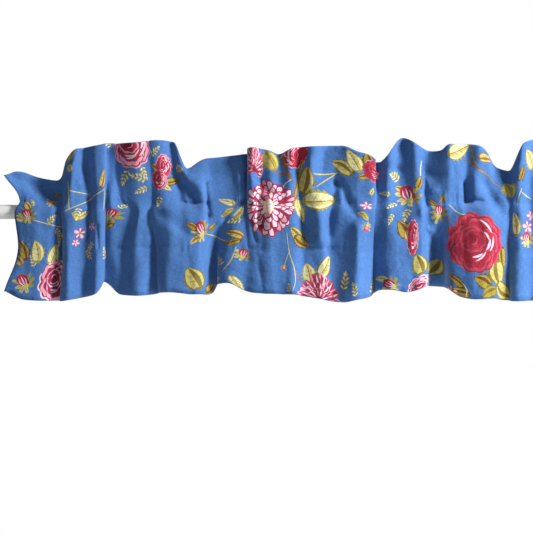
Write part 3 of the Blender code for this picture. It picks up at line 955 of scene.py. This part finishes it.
def many_petalled(motif, wide, seed):
    """A double flower of many narrow petals, each pale with a dark rim."""
    rng = np.random.default_rng(seed)
    motif.fill(scalloped(0.96 * wide, 0.96 * wide, 17, 0.08, seed), "wine")
    for count, reach, start, across in PETAL_RINGS:
        turn = rng.uniform(0, 40)
        for k in rng.permutation(count):
            angle = 360.0 * k / count + turn + rng.uniform(-7, 7)
            foot = turned_by([[0.0, start * wide * rng.uniform(0.9, 1.1)]], angle)[0]
            length = (reach - start) * wide * rng.uniform(0.85, 1.2)
            width = across * wide * rng.uniform(0.75, 1.15)
            lean = angle + rng.uniform(-14, 14)
            rim = petal_outline(1.1 * length, 1.12 * width, wobble=0.05, seed=k)
            motif.fill(foot + turned_by(rim, lean), "wine" if k % 4 else "crimson")
            body = petal_outline(length * 0.86, width * 0.76, wobble=0.08, seed=k)
            body = body + np.array([0.0, 0.13 * length])
            motif.fill(foot + turned_by(body, lean), "blush" if k % 5 else "pink")
    motif.fill(blob_outline(0.2 * wide, 0.34 * wide, 0.08, seed), "peach")
    motif.fill(blob_outline(0.1 * wide, 0.2 * wide, 0.1, seed + 1) + [0.02 * wide, 0.0], "blush")


def fan_flower(motif, wide, seed):
    """A striped flower seen from its side: jagged petals fan out of a dark heart."""
    rng = np.random.default_rng(seed)
    for row, (count, reach, spread) in enumerate(FAN_ROWS):
        for k in rng.permutation(count):
            angle = spread * (2 * k / (count - 1) - 1) + rng.uniform(-5, 5)
            length = reach * wide * rng.uniform(0.88, 1.08)
            width = 0.24 * wide * (1 - 0.1 * row)
            rim = "rose" if (k + row) % 3 else "pink"
            for share, slim, ink in ((1.0, 1.0, rim), (0.92, 0.84, "wine")):
                outline = petal_outline(share * length, slim * width, 0.1, 0.1, k + row)
                motif.fill(turned_by(outline, angle), ink)
            for lean in (-0.25, 0.18):
                line = np.array([[0.3 * lean, 0.3], [lean, 0.62], [1.1 * lean, 0.9]])
                line = line * (width, length)
                ink = "pink" if lean < 0 else "blush"
                motif.stroke(turned_by(smooth_line(line, 5.0), angle), 0.19 * width, ink, 0.2)
    motif.fill(blob_outline(0.16 * wide, 0.12 * wide, 0.1, seed), "deep")


def leaf(motif, length, width, colours=PALE, start=0.0):
    """A toothed leaf along its up direction: a dark rim, two tones and veins."""
    light, shade = colours

    def half_width(part, full):
        return full / 2 * np.sin(np.pi * np.clip(part, 0, 1) ** 0.8) ** 0.85

    def beside(part, half):
        bow = 0.05 * length * np.sin(np.pi * part)
        return np.stack([bow + half, part * length], axis=1)

    def fill(right, left, ink):
        motif.fill(np.concatenate([right, left[::-1][1:-1]]) + (0.0, start), ink)

    def vein(line, width):
        motif.stroke(line + np.array([0.0, start]), width, "brown", 0.3)

    count = count_for(length * 1.15, 10)
    part = np.linspace(0.0, 1.0, count)
    saw = 1 + 0.2 * (1 - 2 * np.mod(part * LEAF_TEETH, 1.0)) * (part > 0.08)
    half = half_width(part, width) * saw
    fill(beside(part, half), beside(part, -half), shade)
    inside = 0.1 + 0.84 * part
    near = half_width(inside, width) * 0.8
    fill(beside(inside, near), beside(inside, -near), light)
    shadow = "yellow" if light == "butter" else shade
    fill(beside(inside, 0.55 * near), beside(inside, 0.0 * near), shadow)
    rib = beside(part, 0.0 * part) * (1.0, 0.95)
    vein(rib[:: max(1, count // 7)], 0.035 * width + 0.55)
    for k in range(1, 4 if length > 26 else 3):
        at = 0.14 + 0.2 * k
        foot = np.array([0.05 * length * math.sin(math.pi * at), at * length])
        reach = half_width(at + 0.14, width) * 0.66
        for way in (-1, 1):
            across = 0.05 * length * math.sin(math.pi * (at + 0.13)) + way * reach
            vein(smooth_line([foot, [across, (at + 0.15) * length]], 4.5), 0.95)


def bud(motif, size, seed=0):
    """A half-open bud with light strokes, in pale sepals with two small leaves."""
    for angle in (-52, 50, -88, 92, 128, -130, 172):
        leaf_length = size * (0.78 if abs(angle) < 90 else 0.6)
        outline = petal_outline(leaf_length, 0.22 * size, wobble=0.12, seed=angle)
        motif.fill(turned_by(outline, angle), "yellow" if angle > 0 else "olive")
        rib = [[0.0, 0.1 * leaf_length], [0.0, 0.8 * leaf_length]]
        motif.stroke(turned_by(smooth_line(rib), angle), 0.8, "brown")
    body = petal_outline(0.98 * size, 0.72 * size, wobble=0.04, seed=seed)
    motif.fill(body - [0.0, 0.3 * size], "crimson")
    dark = blob_outline(0.34 * size, 0.5 * size, 0.05, seed)
    motif.fill(dark + [0.17 * size, 0.13 * size], "deep")
    light = blob_outline(0.3 * size, 0.46 * size, 0.05, seed)
    motif.fill(light + [-0.12 * size, 0.2 * size], "rose")
    for lean, top in ((-0.2, 0.5), (0.02, 0.56), (0.2, 0.44)):
        low, middle = (0.2 * lean * size, -0.1 * size), (lean * size, 0.22 * size)
        line = smooth_line([low, middle, (0.8 * lean * size, top * size)], 4.5)
        motif.stroke(line, 0.07 * size, "blush", 0.15)
    for angle in (-24, 0, 26):
        outline = petal_outline(0.4 * size, 0.15 * size)
        motif.fill(turned_by(outline, angle) - [0.0, 0.36 * size], "yellow")


def star_flower(motif, size, seed):
    """A small flower of five petals."""
    for k in range(5):
        outline = petal_outline(0.52 * size, 0.3 * size)
        motif.fill(turned_by(outline, 72 * k + 20 * seed), "pink" if k % 2 else "rose")
        light = petal_outline(0.36 * size, 0.14 * size) + [0.0, 0.08 * size]
        motif.fill(turned_by(light, 72 * k + 20 * seed), "blush")
    motif.fill(blob_outline(0.2 * size, 0.2 * size, 0.0, 0), "olive")


def sprig(motif, length, tip=None):
    """A small branch of narrow leaflets in pairs."""
    line = smooth_line([[0.0, 0.0], [0.06 * length, 0.5 * length], [0.0, 0.92 * length]])
    motif.stroke(line, 1.2, "olive", 0.5)
    for k in range(4):
        at = 0.14 + 0.72 * k / 3
        reach = length * (0.34 - 0.05 * abs(k - 1))
        foot = np.array([0.06 * length * math.sin(math.pi * at), at * length])
        for way, ink in ((-1, "butter"), (1, "yellow" if k % 2 else "butter")):
            outline = petal_outline(1.1 * reach, 0.56 * reach, wobble=0.12, seed=k)
            motif.fill(foot + turned_by(outline, -way * (52 - 6 * k)), "olive")
            body = petal_outline(0.9 * reach, 0.36 * reach) + [0.0, 0.06 * reach]
            motif.fill(foot + turned_by(body, -way * (52 - 6 * k)), ink)
    end = np.array([0.0, 0.9 * length])
    if tip:
        motif.fill(end + blob_outline(0.2 * length, 0.24 * length, 0.06, 1), tip)
        motif.fill(end + blob_outline(0.09 * length, 0.14 * length, 0.06, 2), "blush")
    else:
        motif.fill(end + petal_outline(0.3 * length, 0.11 * length), "butter")


LEAF_SHARE = 1.14


class Print:
    """The print's shapes, placed by where they show from the front."""

    def __init__(self, finder):
        self.finder = finder
        self.shapes = []

    def at(self, x, z, angle=0.0, wide=1.0, tall=1.0):
        place = self.finder.at(x, z)
        if place is None:
            raise ValueError(f"no cloth at {x}, {z}")
        return Motif(self.shapes, place, angle, wide, tall)

    def at_flat(self, along, place, angle=0.0):
        return Motif(self.shapes, (along, place), angle)

    def stem(self, points, width, ink, light=None):
        places = [self.finder.at(x, z) for x, z in points]
        line = smooth_line([place for place in places if place is not None], 5.0)
        self.shapes += [(part, ink) for part in ribbon(line, width, 0.55)]
        if light:
            beside = line + [0.12 * width, -0.12 * width]
            self.shapes += [(part, light) for part in ribbon(beside, 0.4 * width, 0.5)]

    def leaves(self, rows):
        for x, z, length, width, angle, colours in rows:
            length, width = LEAF_SHARE * length, LEAF_SHARE * width
            leaf(self.at(x, z, angle), length, width, colours, -length / 2)

    def sprigs(self, rows):
        for x, z, length, angle, tip in rows:
            sprig(self.at(x, z, angle), length, tip=tip)


def print_panel_a(on):
    on.stem(((92, -16), (122, -24), (152, -33)), 2.2, "olive", "butter")
    on.stem(((70, 8), (86, -4), (92, -16)), 2.0, "olive", "butter")
    on.sprigs((
        (122, -22, 26, -60, None), (138, -34, 26, -120, None), (94, 8, 22, 10, None),
        (150, -44, 22, 160, None), (100, -112, 24, 30, None),
    ))
    on.leaves((
        (82, 12, 30, 15, 35, TAWNY), (140, 33, 26, 13, -30, DARK), (66, -14, 24, 12, 75, PALE),
        (74, -76, 44, 20, 25, DARK), (104, -80, 40, 27, 12, PALE), (136, -86, 40, 28, -22, PALE),
        (60, -96, 34, 18, 55, TAWNY),
    ))
    bud(on.at(86, -10, 20), 25, 1)
    bud(on.at(130, 17, -25), 22, 2)
    bud(on.at(80, -146, 40), 30, 4)
    rose(on.at(139, -138, 0, 0.96, 1.12), 72, 11, edge="blush", body="wine", heart="pink", rim=0.07)


def print_panel_b(on):
    on.stem(((166, 60), (167, 30), (168, 2)), 3.2, "olive", "butter")
    on.stem(((167, 42), (190, 37), (209, 33)), 3.0, "olive", "butter")
    on.stem(((238, 45), (214, 28), (186, 12), (160, 0)), 3.4, "olive", "butter")
    on.stem(((238, 43), (237, 22), (237, 3)), 2.8, "olive", "butter")
    on.leaves((
        (172, 114, 26, 12, -20, LIME), (168, 86, 22, 10, 30, PALE), (235, 66, 34, 13, -10, TAWNY),
        (196, -6, 24, 11, -50, PALE), (180, -10, 20, 9, 40, LIME),
    ))
    on.sprigs((
        (188, 8, 26, 170, None), (204, -72, 24, 200, "crimson"), (216, -60, 20, 150, "rose"),
    ))
    star_flower(on.at(188, -43), 22, 0.0)
    star_flower(on.at(214, -29), 18, 1.4)
    star_flower(on.at(180, -62), 15, 2.2)
    on.stem(((155, -2), (153, -34), (154, -70)), 3.4, "wine")


def print_panel_c(on):
    rose(on.at(291, 129, -8, 1.0, 0.9), 84, 21, heart="pink", rim=0.07)
    on.sprigs((
        (288, 84, 30, 150, None), (312, 92, 24, -160, None), (330, 112, 26, -60, None),
        (322, 62, 28, 70, None), (326, 48, 26, 110, None), (350, 32, 26, 175, None),
        (382, 81, 26, -60, None), (250, 130, 24, 60, None), (238, -97, 30, 10, None),
        (262, 8, 22, -70, None),
    ))
    on.leaves((
        (372, 62, 26, 12, -80, DARK), (340, 86, 24, 12, 60, TAWNY), (362, 50, 22, 10, -130, PALE),
        (244, -30, 24, 11, 120, DARK),
    ))
    rose(on.at(356, 91, 20), 40, 22)
    rose(on.at(348, 63, -20), 38, 23)
    bud(on.at(247, -8, -20), 26, 7)


def print_panel_d(on):
    on.stem(((440, -44), (462, -50), (490, -60)), 2.2, "olive", "butter")
    on.stem(((474, -120), (490, -100), (502, -70)), 2.0, "olive", "butter")
    on.stem(((508, 6), (500, 20), (494, 30)), 1.8, "brown")
    bud(on.at(434, -41, 35), 32, 5)
    bud(on.at(516, -88, -10), 24, 6)
    on.leaves((
        (414, -30, 24, 12, 60, DARK), (420, -58, 24, 12, 120, TAWNY),
        (454, -30, 22, 10, -50, DARK), (486, 18, 28, 14, 50, PALE), (509, 1, 34, 17, -25, PALE),
        (485, -3, 26, 12, 130, LIME), (500, -46, 30, 13, 70, TAWNY),
        (496, -62, 24, 11, 120, DARK), (418, -134, 48, 42, 30, BROAD),
        (450, -154, 36, 24, -70, DARK), (504, -142, 30, 15, -150, PALE),
    ))
    on.sprigs((
        (474, -109, 30, 30, "crimson"), (472, -136, 26, 80, "crimson"), (514, -16, 22, 100, None),
    ))


def print_panel_e(on):
    fan_flower(on.at(539, 84, 0, 0.42, 1.15), 82, 31)
    leaf(on.at(569, 102, 40), 46, 42, LIME, -23.0)
    rose(on.at(622, 118, 170), 62, 32, heart="crimson")
    on.stem(((594, 112), (604, 84), (612, 66)), 4.5, "brown")
    on.stem(((576, 82), (598, 74), (612, 64)), 4.0, "brown")
    on.stem(((636, 102), (627, 62), (618, 26), (614, -4)), 11.0, "brown", "olive")
    on.stem(((612, 64), (600, 54), (594, 40)), 2.4, "butter")
    many_petalled(on.at(567, 10, 0, 1.02, 1.12), 108, 33)
    on.stem(((656, 75), (680, 74), (706, 77)), 3.0, "olive", "butter")
    on.stem(((662, 49), (684, 64), (704, 76)), 3.0, "olive", "butter")
    on.leaves((
        (631, 6, 58, 21, 186, PALE), (640, 62, 54, 34, -12, BROAD), (666, 22, 56, 48, -86, PALE),
        (714, 88, 44, 24, 62, BROAD), (738, 100, 42, 30, 35, PALE), (766, 102, 34, 24, 10, DARK),
        (760, 68, 30, 14, 100, DARK), (773, 40, 20, 9, -20, PALE), (754, -6, 20, 10, 70, PALE),
        (762, -10, 18, 9, -140, LIME), (622, -46, 32, 20, 40, BROAD),
        (634, -60, 34, 20, -125, DARK), (646, -124, 40, 26, 10, PALE),
        (679, -109, 48, 27, -36, ("butter", "moss")),
    ))
    rose(on.at(781, 78, 0), 52, 36)
    star_flower(on.at(763, 11), 27, 0.4)
    bud(on.at(764, -29, 170), 15, 8)
    on.stem(((603, -43), (608, -80), (619, -119), (619, -147), (615, -158)), 2.4, "olive", "butter")
    on.stem(((609, -77), (602, -98), (598, -108)), 2.0, "olive", "butter")
    on.stem(((622, -120), (630, -136), (637, -152)), 3.4, "brown")
    bud(on.at(598, -111, 180), 11, 9)
    fan_flower(on.at(668, -176, 0), 88, 34)
    on.sprigs((
        (716, -160, 32, -12, None), (741, -172, 26, 14, None), (774, -166, 28, -10, None),
        (606, -162, 18, -6, None),
    ))


def print_panel_f(on):
    on.stem(((874, 102), (872, 70), (876, 52)), 1.6, "butter")
    on.stem(((926, -6), (930, -30), (924, -44)), 2.6, "brown")
    on.sprigs((
        (830, 60, 28, 40, None), (812, 34, 26, 80, None), (826, 16, 26, 120, None),
        (850, 6, 26, 160, None), (818, -4, 22, 150, None),
    ))
    on.leaves((
        (868, 58, 30, 14, -30, DARK), (832, 44, 24, 12, 60, TAWNY), (894, 18, 24, 12, 50, DARK),
        (916, 26, 26, 12, -40, ("olive", "brown")), (836, -36, 34, 26, 30, DARK),
        (852, -50, 26, 18, -150, TAWNY), (868, -106, 48, 36, 20, BROAD),
        (896, -110, 44, 34, -30, BROAD), (796, -136, 28, 15, 70, PALE),
    ))
    bud(on.at(848, 26, 15), 38, 15)
    bud(on.at(908, -4, -10), 36, 16)
    rose(on.at(857, -54, -8, 0.34, 1.2), 62, 41)
    rose(on.at(872, -150, 0, 1.0, 0.9), 62, 37, edge="blush", body="wine", heart="pink", rim=0.07)
    bud(on.at(814, -148, 60), 30, 17)


def print_panel_g(on):
    on.stem(((972, 134), (986, 88), (1012, 66), (1040, 48)), 4.0, "brown", "olive")
    on.stem(((962, 104), (992, 84)), 3.6, "brown")
    on.stem(((1056, -44), (1044, -70), (1030, -98)), 4.4, "brown")
    on.stem(((928, 14), (944, -2), (966, -10)), 2.6, "olive", "butter")
    leaf(on.at(946, 124, -70), 58, 34, PALE, -29.0)
    leaf(on.at(1050, 42, 16), 58, 34, LIME, -29.0)
    on.leaves((
        (1026, -70, 40, 22, -150, TAWNY), (1036, -92, 40, 22, -170, DARK),
        (994, -140, 36, 26, 60, DARK), (1008, -162, 34, 22, 110, ("olive", "moss")),
        (940, -138, 34, 16, 60, DARK), (948, -164, 34, 20, 100, DARK),
        (1026, -124, 50, 40, -165, BROAD), (1036, -158, 44, 30, -120, BROAD),
        (1000, 110, 34, 16, -60, TAWNY),
    ))
    rose(on.at(980, -62, 10, 1.0, 1.16), 104, 38, edge="rose")
    on.stem(((956, -144), (962, -156), (960, -170)), 2.0, "butter")
    star_flower(on.at(934, -158), 22, 0.8)


def print_panel_h(on):
    on.stem(((1074, 46), (1068, 28), (1066, 12)), 3.0, "olive", "butter")
    on.stem(((1072, 40), (1084, 30), (1096, 24)), 2.4, "olive", "butter")
    on.leaves((
        (1090, 104, 38, 20, 30, PALE), (1060, -24, 44, 16, 10, PALE),
        (1074, 76, 26, 14, -20, DARK), (1122, 60, 40, 24, -50, BROAD),
        (1150, -90, 46, 30, 30, BROAD), (1120, -120, 36, 20, -60, DARK),
    ))
    star_flower(on.at(1086, -30), 24, 0.5)
    star_flower(on.at(1094, -8), 22, 1.1)
    bud(on.at(1086, -58, 20), 24, 18)
    rose(on.at(1150, -30, 20), 90, 39)
    rose(on.at(1132, 108, -30), 60, 40, edge="blush", body="rose", shade="crimson", heart="pink")
    on.sprigs((
        (1166, 40, 30, 20, "crimson"), (1108, -160, 28, -20, None), (1176, -140, 30, 30, None),
    ))


# Width in millimetres of the painted shade along each turned edge
EDGE_SHADE_WIDTH = 3.2

# How the motifs go on over the back layer, where nothing shows of them from the front
BACK_PITCH_ALONG = 132.0
BACK_PITCH_DOWN = 92.0
BACK_JITTER = 24.0
BACK_JITTER_DOWN = 0.6
BACK_TOP = -52.0
BACK_START = 40.0
BACK_STAGGER = 50.0
BACK_END = 20.0
BACK_SEED = 7


def print_back(on):
    rng = np.random.default_rng(BACK_SEED)
    rows = np.arange(BACK_TOP, STRIP_START + BACK_END, -BACK_PITCH_DOWN)
    for row, place in enumerate(rows):
        first = BACK_START + BACK_STAGGER * (row % 2)
        starts = np.arange(first, WIDTH - BACK_END, BACK_PITCH_ALONG)
        for number, along in enumerate(starts):
            across = rng.uniform(-1, 1) * BACK_JITTER
            fall = rng.uniform(-1, 1) * BACK_JITTER * BACK_JITTER_DOWN
            spot = (along + across, place + fall)
            angle = 180.0 + rng.uniform(-60, 60)
            kind = (number + 2 * row) % 5
            if kind == 0:
                rose(on.at_flat(*spot, angle), 66, 50 + number)
            elif kind == 1:
                leaf(on.at_flat(*spot, angle), 48, 30, BROAD)
                leaf(on.at_flat(*spot, angle + 70), 42, 24)
            elif kind == 2:
                bud(on.at_flat(*spot, angle), 34, number)
                sprig(on.at_flat(spot[0] + 22, spot[1], angle + 90), 30)
            elif kind == 3:
                star_flower(on.at_flat(*spot, angle), 26, 0.3 * number)
                sprig(on.at_flat(spot[0] - 14, spot[1] + 8, angle - 60), 28, tip="crimson")
            else:
                sprig(on.at_flat(*spot, angle), 36)
                leaf(on.at_flat(spot[0] + 18, spot[1] + 6, angle - 50), 34, 18, DARK)


def paint_turned_edge_shade(on):
    """Painted shade along each turned edge: a darker band at the top fold, the hem and both sides,
    where the rolled edge falls into shade.
    """
    half = EDGE_SHADE_WIDTH / 2
    along = spaced_by_bend()
    rows = rows_down()
    down = rows[(rows >= 0) & (rows <= HEM)]
    lines = []
    for place in (0.0, HEM):
        lines.append((np.stack([along, np.full(len(along), place)], axis=1), (0.0, half)))
    for side in (half, WIDTH - half):
        lines.append((np.stack([np.full(len(down), side), down], axis=1), (half, 0.0)))
    for line, away in lines:
        away = np.array(away)
        on.shapes.append((np.concatenate([line - away, (line + away)[::-1]]), "painted_edge_shade"))


PANELS = (
    print_panel_a,
    print_panel_b,
    print_panel_c,
    print_panel_d,
    print_panel_e,
    print_panel_f,
    print_panel_g,
    print_panel_h,
)


def all_shapes(finder):
    """Every shape of the print, each over the ones before it."""
    on = Print(finder)
    print_back(on)
    for panel in PANELS:
        panel(on)
    paint_turned_edge_shade(on)
    return on.shapes

# ---------------------------------------------------------------- finishes
def plug(tree, inputs, values):
    """Links each input that is given a socket, and sets any other."""
    for key, value in values.items():
        if isinstance(value, bpy.types.NodeSocket):
            tree.links.new(value, inputs[key])
        else:
            inputs[key].default_value = value


def node(tree, kind, output, values=None, **settings):
    """A new node's output. Its settings come before its inputs, because they choose them."""
    made = tree.nodes.new("ShaderNode" + kind)
    for key, value in settings.items():
        setattr(made, key, value)
    plug(tree, made.inputs, values or {})
    return made.outputs[output]


def noise(tree, vector, scale, **more):
    return node(tree, "TexNoise", "Fac", {"Vector": vector, "Scale": scale, **more})


def ranged(tree, value, low, high, **source):
    """A value carried over to the range from low to high."""
    values = {key.replace("_", " "): limit for key, limit in source.items()}
    return node(
        tree, "MapRange", "Result", {"Value": value, "To Min": low, "To Max": high, **values}
    )


def bumped(tree, height, strength, distance, **under):
    values = {"Height": height, "Strength": strength, "Distance": distance, **under}
    return node(tree, "Bump", "Normal", values)


def mixed(tree, part, first, second):
    values = {"A": (*first, 1.0), "B": (*second, 1.0), "Factor": part}
    return node(tree, "Mix", "Result", values, data_type="RGBA")


def finish(name):
    """A new material, its nodes and a function that fills the inputs of its shader."""
    made = bpy.data.materials.new(name)
    made.use_nodes = True
    tree = made.node_tree
    shader = tree.nodes["Principled BSDF"]
    return made, tree, lambda values: plug(tree, shader.inputs, values)


# How finely the noise of the threads runs across and down the cloth, for the warp and the weft
WEAVE = ((1150.0, 95.0), (100.0, 1050.0))


def cotton(name):
    """Printed plain-weave cotton: ink from the sheet's own colours, threads both ways."""
    made, tree, shade = finish(name)
    ink = node(tree, "Attribute", "Color", attribute_name="ink")
    flat = node(tree, "UVMap", "UV", uv_map="flat")
    threads = []
    for across, down in WEAVE:
        scale = (across, down, 1.0)
        stretched = node(tree, "Mapping", "Vector", {"Vector": flat, "Scale": scale})
        threads.append(noise(tree, stretched, 1.0, Detail=2.0))
    weave = node(tree, "Math", "Value", dict(enumerate(threads)), operation="ADD")
    tone = ranged(tree, weave, 0.74, 1.24, From_Min=0.7, From_Max=1.3)
    wash = noise(tree, flat, 14.0, Detail=3.0)
    washed = ranged(tree, wash, 0.93, 1.07, From_Min=0.3, From_Max=0.7)
    both = node(tree, "Math", "Value", {0: tone, 1: washed}, operation="MULTIPLY")
    colour = node(tree, "VectorMath", "Vector", {"Vector": ink, "Scale": both}, operation="SCALE")
    puckered = bumped(tree, noise(tree, flat, 55.0, Detail=3.0), 0.6, 0.004)
    shade(
        {
            "Base Color": colour,
            "Roughness": ranged(tree, weave, 0.95, 0.78, From_Min=0.6, From_Max=1.4),
            "Normal": bumped(tree, weave, 0.4, 0.0003, Normal=puckered),
            "Sheen Weight": 0.3,
            "Sheen Roughness": 0.45,
            "Sheen Tint": (0.85, 0.92, 1.0, 1.0),
            "Specular IOR Level": 0.35,
        }
    )
    return made


def thread(name):
    """Twisted sewing thread, in the blue of the ground."""
    made, tree, shade = finish(name)
    twist = noise(tree, node(tree, "TexCoord", "Object"), 900.0)
    shade(
        {
            "Base Color": mixed(tree, twist, ink_of(44, 88, 150), ink_of(76, 126, 190)),
            "Roughness": ranged(tree, twist, 0.55, 0.8),
            "Normal": bumped(tree, twist, 0.3, 0.0001),
        }
    )
    return made


def white_paint(name):
    """Smooth white paint on a metal tube, a little uneven, with faint handling marks."""
    made, tree, shade = finish(name)
    place = node(tree, "TexCoord", "Object")
    marks = noise(tree, place, 45.0, Detail=5.0)
    shade(
        {
            "Base Color": mixed(tree, marks, (0.8, 0.8, 0.79), (0.88, 0.88, 0.87)),
            "Roughness": ranged(tree, marks, 0.3, 0.5),
            "Normal": bumped(tree, noise(tree, place, 700.0), 0.08, 0.0002),
            "Coat Weight": 0.2,
            "Coat Roughness": 0.25,
        }
    )
    return made


def floor_finish(name):
    made, _, shade = finish(name)
    shade({"Base Color": (0.9, 0.9, 0.9, 1.0), "Roughness": 0.9})
    return made


# ---------------------------------------------------------------- the pieces
finder = Finder()
valance = build_sheet("valance_cloth", all_shapes(finder), finder)
valance.data.materials.append(cotton("printed_cotton_finish"))
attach(valance, "root")
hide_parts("valance")
stitching = sew("stitching")
stitching.data.materials.append(thread("thread_finish"))
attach(stitching, "root")

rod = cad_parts["rod"]
paint = white_paint("white_paint")
for index in range(max(1, len(rod.material_slots))):
    if rod.material_slots:
        rod.material_slots[index].material = paint
    else:
        rod.data.materials.append(paint)

# ---------------------------------------------------------------- the stage
FLOOR_DROP = 0.75
FLOOR_SIZE = (2.4, 1.3)
FLOOR_MIDDLE = (0.6, 0.0)
bpy.ops.mesh.primitive_plane_add(size=1.0, location=(*FLOOR_MIDDLE, -FLOOR_DROP))
floor = bpy.context.object
floor.scale = (*FLOOR_SIZE, 1.0)
floor.name = "floor"
floor.data.materials.append(floor_finish("floor_finish"))

CAMERA_X = 0.563
CAMERA_Z = -0.110
CAMERA_DISTANCE = 4.0
VIEW_WIDTH = 1.066
CLOTH_DEPTH = 0.03
SENSOR = 36.0
camera_data = bpy.data.cameras.new("camera")
camera = shown("camera", camera_data)
camera.location = (CAMERA_X, -CAMERA_DISTANCE, CAMERA_Z)
camera.rotation_euler = (math.pi / 2, 0.0, 0.0)
camera_data.sensor_width = SENSOR
camera_data.lens = SENSOR * (CAMERA_DISTANCE - CLOTH_DEPTH) / VIEW_WIDTH
bpy.context.scene.camera = camera


LIGHT_DISTANCE = 3.0
LIGHT_TARGET = (0.56, 0.0, 0.0)


def soft_light(name, azimuth, elevation, size, power):
    """A round soft box that faces the cloth. Azimuth 0 is the camera's side, 90 its right."""
    data = bpy.data.lights.new(name, "AREA")
    data.shape = "DISK"
    data.size = size
    data.energy = power
    light = shown(name, data)
    across, up = math.radians(azimuth), math.radians(elevation)
    away = Vector(
        (math.sin(across) * math.cos(up), -math.cos(across) * math.cos(up), math.sin(up))
    )
    light.location = Vector(LIGHT_TARGET) + LIGHT_DISTANCE * away
    light.rotation_euler = (-away).to_track_quat("-Z", "Y").to_euler()


# Azimuth and elevation in degrees, size in metres and power in watts
LIGHTS = (
    ("right_key", 64.0, 22.0, 0.9, 172.0),
    ("front_fill", -20.0, 10.0, 1.6, 11.0),
    ("back_fill", 170.0, 35.0, 1.6, 45.0),
)
for lamp in LIGHTS:
    soft_light(*lamp)

# The room lights the part softly, and the camera sees plain white behind it.
ROOM_LIGHT = 0.14
WHITE = (1.0, 1.0, 1.0, 1.0)
world = bpy.data.worlds.new("studio")
bpy.context.scene.world = world
world.use_nodes = True
studio = world.node_tree
room = studio.nodes["Background"]
plug(studio, room.inputs, {"Color": WHITE, "Strength": ROOM_LIGHT})
white = node(studio, "Background", "Background", {"Color": WHITE})
ray = node(studio, "LightPath", "Is Camera Ray")
seen = node(studio, "MixShader", "Shader", {"Fac": ray, 1: room.outputs["Background"], 2: white})
plug(studio, studio.nodes["World Output"].inputs, {"Surface": seen})
bpy.context.scene.view_settings.view_transform = "Standard"
